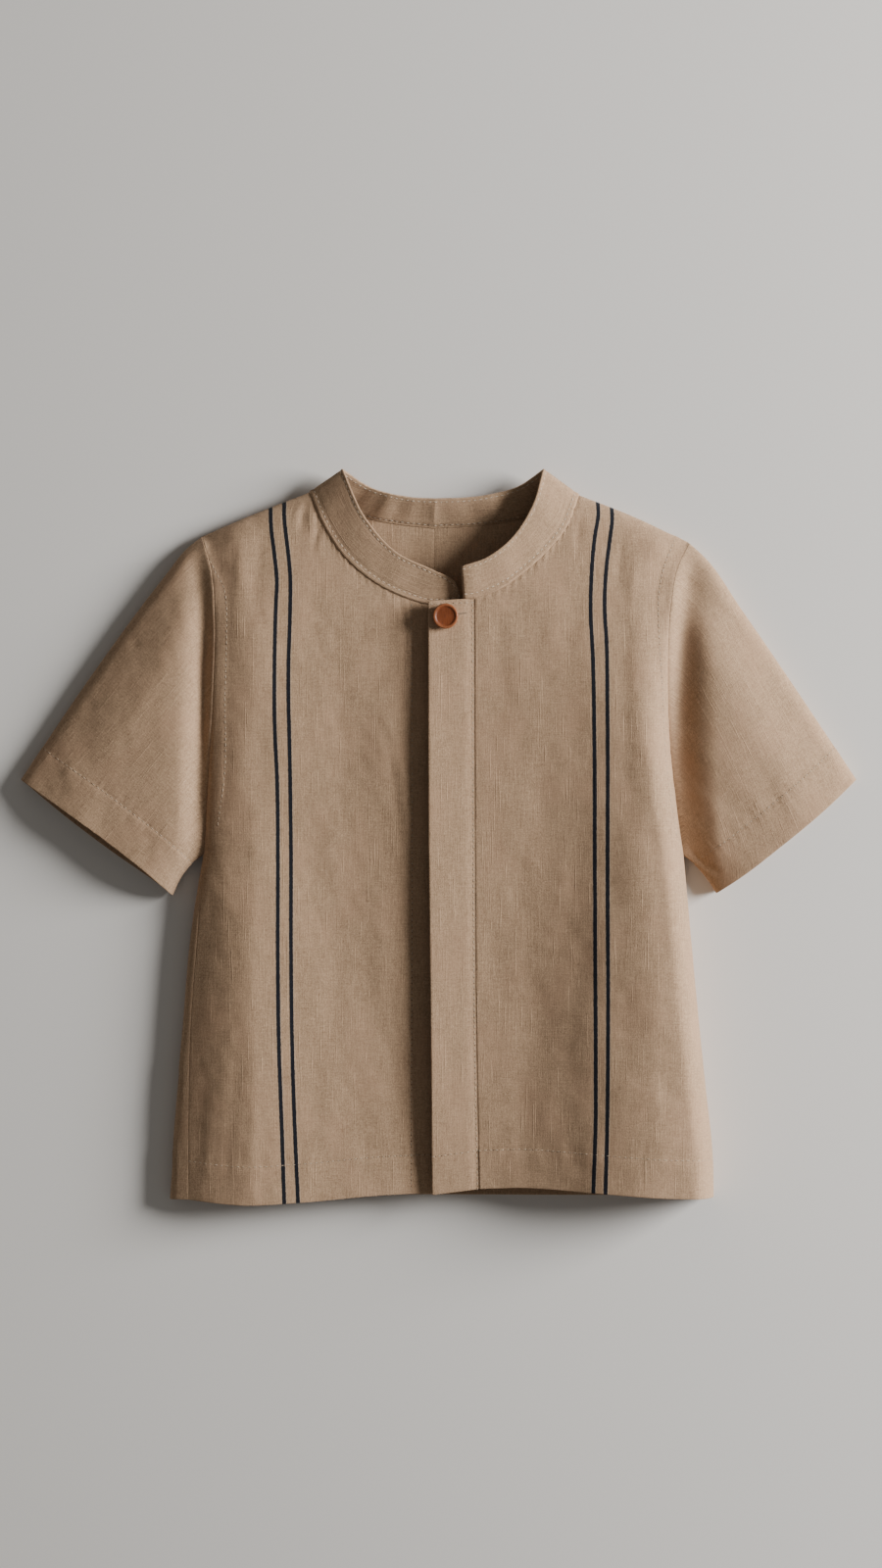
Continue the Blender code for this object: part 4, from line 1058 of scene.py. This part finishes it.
def makeLinen(name, striped=False, paintedLight=0.0):
    material, shader, root = newMaterial(name)
    cloth = root.node("ShaderNodeUVMap", {"uv_map": "cloth"}).scaled((1000.0, 1000.0, 0.0))   # millimetres
    split = cloth.node("ShaderNodeSeparateXYZ", {}, {0: cloth})
    u, v = split.output("X"), split.output("Y")
    cloud = cloth.noise((0.030, 0.022, 1.0), 3.0, 0.55, 3.1)
    patch = cloth.noise((0.16, 0.10, 1.0), 3.0, 0.6, 8.4)
    warp = cloth.noise((1.25, 0.10, 1.0), 3.0, 0.66, 1.7)
    weft = cloth.noise((0.12, 1.25, 1.0), 3.0, 0.66, 5.3)
    grain = cloth.noise((1.7, 1.1, 1.0), 2.0, 0.6, 11.9)
    slub = cloth.noise((1.25, 0.030, 1.0), 1.0, 0.5, 21.0).step(0.13, 0.24)
    dent = cloth.noise((1.10, 0.034, 1.0), 1.0, 0.5, 33.0).step(0.13, 0.25)
    wander = cloth.noise((0.4, 0.05, 1.0), 1.0, 0.5, 2.2) * 1.6
    pitch = 2 * math.pi / linenLook["thread"]
    ends = (u * pitch + wander).maths("SINE")
    picks = (v * pitch + wander).maths("SINE")
    weave = ends * picks
    # paintedLight lifts the whole tone evenly: painted light, making a lighter copy of the same linen
    tone = (cloud * 0.12 + patch * 0.10 + warp * 0.55 + weft * 0.50 + grain * 1.15 + weave * 0.03
            + slub * 0.12 - dent * 0.12 + (0.5 + paintedLight))
    colour = tone.mixed(linenLook["dark"], linenLook["light"])
    blush = cloth.noise((0.045, 0.03, 1.0), 2.0, 0.5, 14.0).step(-0.08, 0.2) * 0.30
    colour = blush.mixed(colour, linenLook["blush"])
    height = ends * 0.22 + picks * 0.22 + weave * 0.25 + warp * 1.1 + weft * 0.8 + slub * 0.9 + grain * 0.5
    if striped:
        apart = root.node("ShaderNodeAttribute", {"attribute_name": "stripes"}, output="Vector")
        pair = root.node("ShaderNodeSeparateXYZ", {}, {0: apart})
        nearest = abs(pair.output("X")).maths("MINIMUM", abs(pair.output("Y")))
        edge = nearest + cloth.noise((1.1, 0.45, 1.0), 2.0, 0.6, 40.0) * 0.6 + picks * 0.05
        half = linenLook["stripeHalfWidth"]
        border = (1 - edge.step(half, half + 0.75)) * 0.35
        colour = border.mixed(colour, linenLook["border"])
        stripe = 1 - edge.step(half - 0.16, half + 0.16)
        speck = cloth.noise((0.7, 1.6, 1.0), 2.0, 0.6, 51.0).step(0.02, 0.25)
        navy = speck.mixed(linenLook["navy"], linenLook["navyLight"])
        colour = stripe.mixed(colour, navy)
        height = height + stripe * 0.8
    colour.into(shader, "Base Color")
    (0.88 + grain * 0.18).into(shader, "Roughness")
    root.node("ShaderNodeBump", {}, {"Strength": linenLook["bump"], "Distance": linenLook["bumpDepth"],
                                     "Height": height}).into(shader, "Normal")
    shader.inputs["Specular IOR Level"].default_value = 0.25
    shader.inputs["Sheen Weight"].default_value = 0.12
    shader.inputs["Sheen Roughness"].default_value = 0.5
    return material


linen = makeLinen("linen")
stripedLinen = makeLinen("linen_striped", striped=True)
# The back pieces take a lighter copy of the linen: painted light, set to offset the shade that falls on the
# inside of the back under the neckband
litBackLinen = makeLinen("linen_back_painted_light", paintedLight=0.08)
clothFor = {"front_right": stripedLinen, "front_left": stripedLinen, "back_right": litBackLinen,
            "back_left": litBackLinen}


def sheetSize(panel):  # the flat size and area of what shows, from the cloth's own middle
    points = panel.closedPoints()
    rows = np.linalg.norm(np.diff(points, axis=1), axis=-1).sum(axis=1)
    columns = np.linalg.norm(np.diff(points, axis=0), axis=-1).sum(axis=0)
    a, b = np.diff(points, axis=1)[:-1], np.diff(points, axis=0)[:, :-1]
    area = np.linalg.norm(np.cross(a, b), axis=-1).sum()
    wide, tall = float(rows.max() * mm), float(columns.max() * mm)
    return (round(wide, 4), round(tall, 4)), round(float(area * mm * mm), 5)


for panel in panels:
    uv = bandUv(panel) if panel.name == "neckband" else clothUv(panel, sleeveTurns.get(panel.name, 0.0))
    made = clothMesh(panel, uv, clothFor.get(panel.name, linen))
    flat, area = sheetSize(panel)
    print(panel.name, "flat", flat, "area", area, "faces", len(made.data.polygons))
    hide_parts(panel.name)
    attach(made, "root")
print("cloth made")


# Sewing thread: Geometry Nodes set a stitch at each step along the sewing lines
stitch = {
    "pitch": 3.4,
    "length": 2.3,
    "width": 0.55,
    "height": 0.36,
    "seed": 4,
    "colour": (0.50, 0.39, 0.28, 1.0),
    "bandColour": (0.70, 0.57, 0.43, 1.0),
    # Needle holes are dark dots set between the stitches: painted shade of the holes in the cloth
    "holeShadeSize": 0.7,
    "holeShadeHeight": 0.16,
    "holeShadeColour": (0.09, 0.062, 0.042, 1.0),
}


def socketIds(tree):
    return {item.name: item.identifier for item in tree.interface.items_tree if item.in_out == "INPUT"}


def stitchTree(material):
    tree = bpy.data.node_groups.new("stitches", "GeometryNodeTree")
    tree.interface.new_socket("Geometry", in_out="INPUT", socket_type="NodeSocketGeometry")
    for name in ("Pitch", "Length", "Width", "Height", "Shift"):
        tree.interface.new_socket(name, in_out="INPUT", socket_type="NodeSocketFloat")
    tree.interface.new_socket("Seed", in_out="INPUT", socket_type="NodeSocketInt")
    tree.interface.new_socket("Geometry", in_out="OUTPUT", socket_type="NodeSocketGeometry")
    root = Wire(tree)
    given = root.node("NodeGroupInput")
    curve = root.node("GeometryNodeMeshToCurve", {}, {"Mesh": given.output("Geometry")})
    trimmed = root.node("GeometryNodeTrimCurve", {"mode": "LENGTH"},
                        {"Curve": curve, 4: given.output("Shift"), 5: 100.0})   # metres, from and to
    even = root.node("GeometryNodeResampleCurve", {"mode": "LENGTH"},
                     {"Curve": trimmed, "Length": given.output("Pitch")})
    up = root.node("GeometryNodeInputNamedAttribute", {"data_type": "FLOAT_VECTOR"}, {"Name": "up"})
    tangent = root.node("GeometryNodeInputTangent")
    turned = root.node("FunctionNodeAxesToRotation", {"primary_axis": "Z", "secondary_axis": "X"},
                       {0: up, 1: tangent})
    ball = root.node("GeometryNodeMeshUVSphere", {}, {"Segments": 6, "Rings": 4, "Radius": 0.5})
    size = root.node("ShaderNodeCombineXYZ", {}, {0: given.output("Length"), 1: given.output("Width"),
                                                  2: given.output("Height")})
    uneven = root.node("FunctionNodeRandomValue", {"data_type": "FLOAT"},
                       {2: 0.82, 3: 1.12, "Seed": given.output("Seed")}, output=1)
    scale = root.node("ShaderNodeVectorMath", {"operation": "SCALE"}, {0: size, "Scale": uneven})
    stitches = root.node("GeometryNodeInstanceOnPoints", {},
                         {"Points": even, "Instance": ball, "Rotation": turned, "Scale": scale})
    real = root.node("GeometryNodeRealizeInstances", {}, {"Geometry": stitches})
    smoothed = root.node("GeometryNodeSetShadeSmooth", {}, {"Geometry": real})
    coloured = root.node("GeometryNodeSetMaterial", {}, {"Geometry": smoothed, "Material": material})
    root.node("NodeGroupOutput", {}, {"Geometry": coloured})
    return tree


def makeThread(name, colour):
    material, shader, root = newMaterial(name)
    place = root.node("ShaderNodeTexCoord", output="Object")
    fibre = place.noise((2600.0, 2600.0, 2600.0), 2.0, 0.6)
    tint = (0.5 + fibre * 0.9).mixed(tuple(c * 0.7 for c in colour[:3]) + (1.0,), colour)
    tint.into(shader, "Base Color")
    (0.85 + fibre * 0.2).into(shader, "Roughness")
    shader.inputs["Specular IOR Level"].default_value = 0.15
    return material


def stitchSizes(pitch, length, width, height, shift=0.0):
    return {"Pitch": pitch * mm, "Length": length * mm, "Width": width * mm, "Height": height * mm,
            "Shift": shift * mm, "Seed": stitch["seed"]}


def sew(name, paths, tree, sizes):
    vertices, edges, ups = [], [], []
    for points, normals in paths:
        first = len(vertices)
        vertices += [tuple(p) for p in points * mm]
        ups += [tuple(n) for n in normals]
        edges += [(first + k, first + k + 1) for k in range(len(points) - 1)]
    mesh = bpy.data.meshes.new(name)
    mesh.from_pydata(vertices, edges, [])
    setVectors(mesh, "up", ups)
    holder = placed(name + "_path", mesh)
    modifier = holder.modifiers.new("stitches", "NODES")
    modifier.node_group = tree
    ids = socketIds(tree)
    for key, value in sizes.items():
        modifier[ids[key]] = value
    evaluated = holder.evaluated_get(bpy.context.evaluated_depsgraph_get())
    plain = bpy.data.meshes.new_from_object(evaluated)
    holder.modifiers.remove(modifier)
    bpy.data.objects.remove(holder)
    plain.name = name
    made = placed(name, plain)
    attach(made, "root")
    return made


def dropped(panel, line, lift=0.0, step=1.0):  # a plan line laid on the top of a finished panel
    shape = Line(line)
    places = shape.at(np.linspace(0, 1, max(2, int(shape.length / step))))
    points, normals = [], []
    for x, y in places:
        hit, normal, _, _ = panel.tree.ray_cast(Vector((x * mm, y * mm, 0.2)), Vector((0, 0, -1)))
        if hit is not None:
            points.append(np.array(hit) / mm + np.array(normal) * lift)
            normals.append(np.array(normal))
    return np.array(points), np.array(normals)


def alongRow(panel, distance, first, last, fromTop=False, side=1):  # a seam at a distance from an edge
    points, normals = panel.line(panel.rowAt(distance, fromTop), side)
    return points[first:last], normals[first:last]


thread = makeThread("thread", stitch["colour"])
# The needle holes' material is a dark thread colour: painted shade
holeShade = makeThread("needle_hole_shade", stitch["holeShadeColour"])
bandThread = makeThread("band_thread", stitch["bandColour"])
threadTree, bandTree, holeShadeTree = stitchTree(thread), stitchTree(bandThread), stitchTree(holeShade)
hemDepth, bandTop = wall["hemDepth"], sewing["bandTop"]
placketEdge = [(x - sewing["placketStitch"], y) for x, y in left.cut["inner"][:-1]]
runs = {
    "stitches_fronts": [
        alongRow(frontRight, hemDepth, 3, -2), alongRow(frontLeft, hemDepth, 1, -3),
        alongRow(placket, hemDepth, 2, -1),
        dropped(frontRight, sewing["armRight"][1:]), dropped(frontLeft, sewing["armLeft"]),
        dropped(frontRight, sewing["underlap"]),
        dropped(placket, placketEdge + [sewing["placketStitchTop"]]),
        dropped(placket, sewing["placketTop"]),
    ],
    "stitches_sleeves": [alongRow(sleeve, hemDepth, 2, sleeve.upper - 2, fromTop=True)
                         for sleeve in (sleeveRight, sleeveLeft)],
    "stitches_neckband": [
        alongRow(neckband, bandTop, 1, -1, fromTop=True),
        alongRow(neckband, bandTop, 1, -1, fromTop=True, side=-1),
        alongRow(neckband, sewing["bandLow"], 1, -1),
        alongRow(neckband, sewing["bandLowInside"], 1, -1, side=-1),
    ],
}
lengths = stitchSizes(stitch["pitch"], stitch["length"], stitch["width"], stitch["height"])
holeShadeLengths = stitchSizes(stitch["pitch"], stitch["holeShadeSize"], stitch["holeShadeSize"], stitch["holeShadeHeight"],
                          shift=stitch["pitch"] / 2)
for name, paths in runs.items():
    sewn = sew(name, paths, bandTree if name == "stitches_neckband" else threadTree, lengths)
    sew(name.replace("stitches", "needle_hole_shade"), paths, holeShadeTree, holeShadeLengths)
    print(name, len(sewn.data.polygons), "thread faces")


# The buttonhole's end beside the button: a slit between two rows of close thread, its opening drawn as dark
# dots of painted shade
slit = {
    "line": ((9.5, 135.5), (16.8, 136.2)),
    "rows": 0.5,
    "pitch": 0.42,
    "thread": (0.5, 0.42, 0.3),      # length, width and height of a stitch
    "openingShade": (0.7, 0.4, 0.12),
    "step": 0.4,
    "lift": 0.02,
}
slitLine = np.array(slit["line"])
edges = [dropped(placket, slitLine + np.array([0, aside]), slit["lift"], slit["step"])
         for aside in (-slit["rows"], slit["rows"])]
sew("buttonhole_edges", edges, threadTree, stitchSizes(slit["pitch"], *slit["thread"]))
# The slit itself: dark dots along its line, painted shade of the opening
sew("buttonhole_slit_shade", [dropped(placket, slitLine, 0.0, slit["step"])], holeShadeTree,
    stitchSizes(slit["pitch"], *slit["openingShade"]))


# The button: a turned disc with a raised rim, a dished plain face and a shank
button = {
    "radius": 7.7,
    "thick": 2.6,
    "shankRadius": 2.4,
    "shank": 1.6,
    "rim": 2.0,
    "dish": 0.55,
    "edge": 0.6,
    "place": (3.9, 134.2),
    "sides": 96,
    "wood": (0.25, 0.064, 0.017, 1.0),
    "darkWood": (0.06, 0.013, 0.004, 1.0),
    "rimWood": (0.33, 0.115, 0.045, 1.0),
}


def makeButton():
    top = button["shank"] + button["thick"]
    radius, edge, rim = button["radius"], button["edge"], button["rim"]
    profile = [(button["shankRadius"], 0.0), (button["shankRadius"], button["shank"])]
    middle = button["shank"] + button["thick"] / 2
    for turn in np.linspace(-80, 80, 15):   # the rounded outside
        profile.append((radius - edge + edge * math.cos(math.radians(turn)),
                        middle + (button["thick"] / 2) * math.sin(math.radians(turn))))
    for share in np.linspace(0.12, 1, 10):  # over the rim and down into the dish
        profile.append((radius - edge - share * rim,
                        top - button["dish"] * float(smooth((share - 0.25) / 0.75))))
    for share in np.linspace(0.1, 0.9, 9):  # the dish, with faint marks of the turning tool
        turnedMark = 0.015 * math.sin(share * 60) - 0.05 * math.sin(share * math.pi)
        profile.append(((radius - edge - rim) * (1 - share), top - button["dish"] + turnedMark))
    turns = np.linspace(0, 2 * math.pi, button["sides"], endpoint=False)
    x, y = button["place"]
    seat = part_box("button")[0].z / mm
    vertices = [(x + r * math.cos(t), y + r * math.sin(t), seat + h) for r, h in profile for t in turns]
    count = button["sides"]
    faces = [(ring * count + j, ring * count + (j + 1) % count, (ring + 1) * count + (j + 1) % count,
              (ring + 1) * count + j) for ring in range(len(profile) - 1) for j in range(count)]
    vertices += [(x, y, seat), (x, y, seat + top - button["dish"])]
    last = (len(profile) - 1) * count
    for j in range(count):
        k = (j + 1) % count
        faces += [(k, j, len(vertices) - 2), (last + j, last + k, len(vertices) - 1)]
    mesh = bpy.data.meshes.new("button_turned")
    mesh.from_pydata([tuple(c * mm for c in v) for v in vertices], [], faces)
    mesh.shade_smooth()
    mesh.set_sharp_from_angle(angle=math.radians(50))
    return placed("button_turned", mesh)


def makeWood():
    material, shader, root = newMaterial("button_wood")
    x, y = button["place"]
    place = root.node("ShaderNodeTexCoord", output="Object")
    centred = place.node("ShaderNodeVectorMath", {"operation": "SUBTRACT"},
                         {0: place, 1: (x * mm, y * mm, 0.0)})
    flat = centred.scaled((1000.0, 1000.0, 0.0))
    reach = flat.node("ShaderNodeVectorMath", {"operation": "LENGTH"}, {0: flat}, output="Value")
    grain = centred.noise((1300.0, 210.0, 700.0), 4.0, 0.65, 2.0)
    pore = centred.noise((3600.0, 420.0, 1500.0), 2.0, 0.6, 9.0).step(0.06, 0.2)
    streak = centred.noise((420.0, 90.0, 300.0), 3.0, 0.5, 5.0)
    tone = 0.55 + grain * 0.9 + streak * 0.7 - pore * 0.25
    colour = tone.mixed(button["darkWood"], button["wood"])
    rim = (reach + grain * 0.8).step(5.6, 7.0) * 0.7
    colour = rim.mixed(colour, button["rimWood"])
    colour.into(shader, "Base Color")
    (0.42 + grain * 0.25 + pore * 0.2).into(shader, "Roughness")
    root.node("ShaderNodeBump", {}, {"Strength": 0.4, "Distance": 0.0001,
                                     "Height": grain - pore * 0.6}).into(shader, "Normal")
    shader.inputs["Coat Weight"].default_value = 0.08
    shader.inputs["Specular IOR Level"].default_value = 0.35
    return material


turned = makeButton()
turned.data.materials.append(makeWood())
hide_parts("button")
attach(turned, "root")
print("sewing and button made")


# Floor, light and camera
studio = {
    "floor": (0.74, 0.71, 0.67, 1.0),
    "keyPower": 172.0,
    "keyPlace": (2.35, 0.585, 0.953),
    "keySize": 1.2,
    "fillPower": 0.8,
    "fillPlace": (0.5, -1.6, 1.8),
    "fillSize": 1.8,
    "world": 0.15,
    "worldColour": (1.0, 0.97, 0.93, 1.0),
    "floorHalf": 3.0,
    "sensor": 36.0,
    "distance": 2.6,
    "field": 0.96,
    "aim": (0.0012, 0.0324),
}


def makeStudio():
    half = studio["floorHalf"]
    mesh = bpy.data.meshes.new("floor")
    corners = [(-half, -half, 0), (half, -half, 0), (half, half, 0), (-half, half, 0)]
    mesh.from_pydata(corners, [], [(0, 1, 2, 3)])
    floor = placed("floor", mesh)
    material, shader, root = newMaterial("floor_paper")
    place = root.node("ShaderNodeTexCoord", output="Object")
    tooth = place.noise((420.0, 420.0, 1.0), 3.0, 0.6)
    tint = (0.5 + tooth * 0.5).mixed(tuple(c * 0.96 for c in studio["floor"][:3]) + (1.0,), studio["floor"])
    tint.into(shader, "Base Color")
    shader.inputs["Roughness"].default_value = 0.9
    mesh.materials.append(material)
    for name, place, size, power in (("key", studio["keyPlace"], studio["keySize"], studio["keyPower"]),
                                     ("fill", studio["fillPlace"], studio["fillSize"], studio["fillPower"])):
        data = bpy.data.lights.new(name, "AREA")
        data.shape, data.size, data.energy = "DISK", size, power
        light = placed(name, data)
        light.location = place
        light.rotation_euler = (-Vector(place)).to_track_quat("-Z", "Y").to_euler()
    world = bpy.data.worlds.new("studio")
    world.use_nodes = True
    sky = world.node_tree.nodes["Background"].inputs
    sky["Color"].default_value = studio["worldColour"]
    sky["Strength"].default_value = studio["world"]
    bpy.context.scene.world = world
    data = bpy.data.cameras.new("camera")
    data.sensor_fit, data.sensor_height = "VERTICAL", studio["sensor"]
    data.lens = studio["sensor"] * studio["distance"] / studio["field"]
    camera = placed("camera", data)
    camera.location = (*studio["aim"], studio["distance"])
    bpy.context.scene.camera = camera


makeStudio()
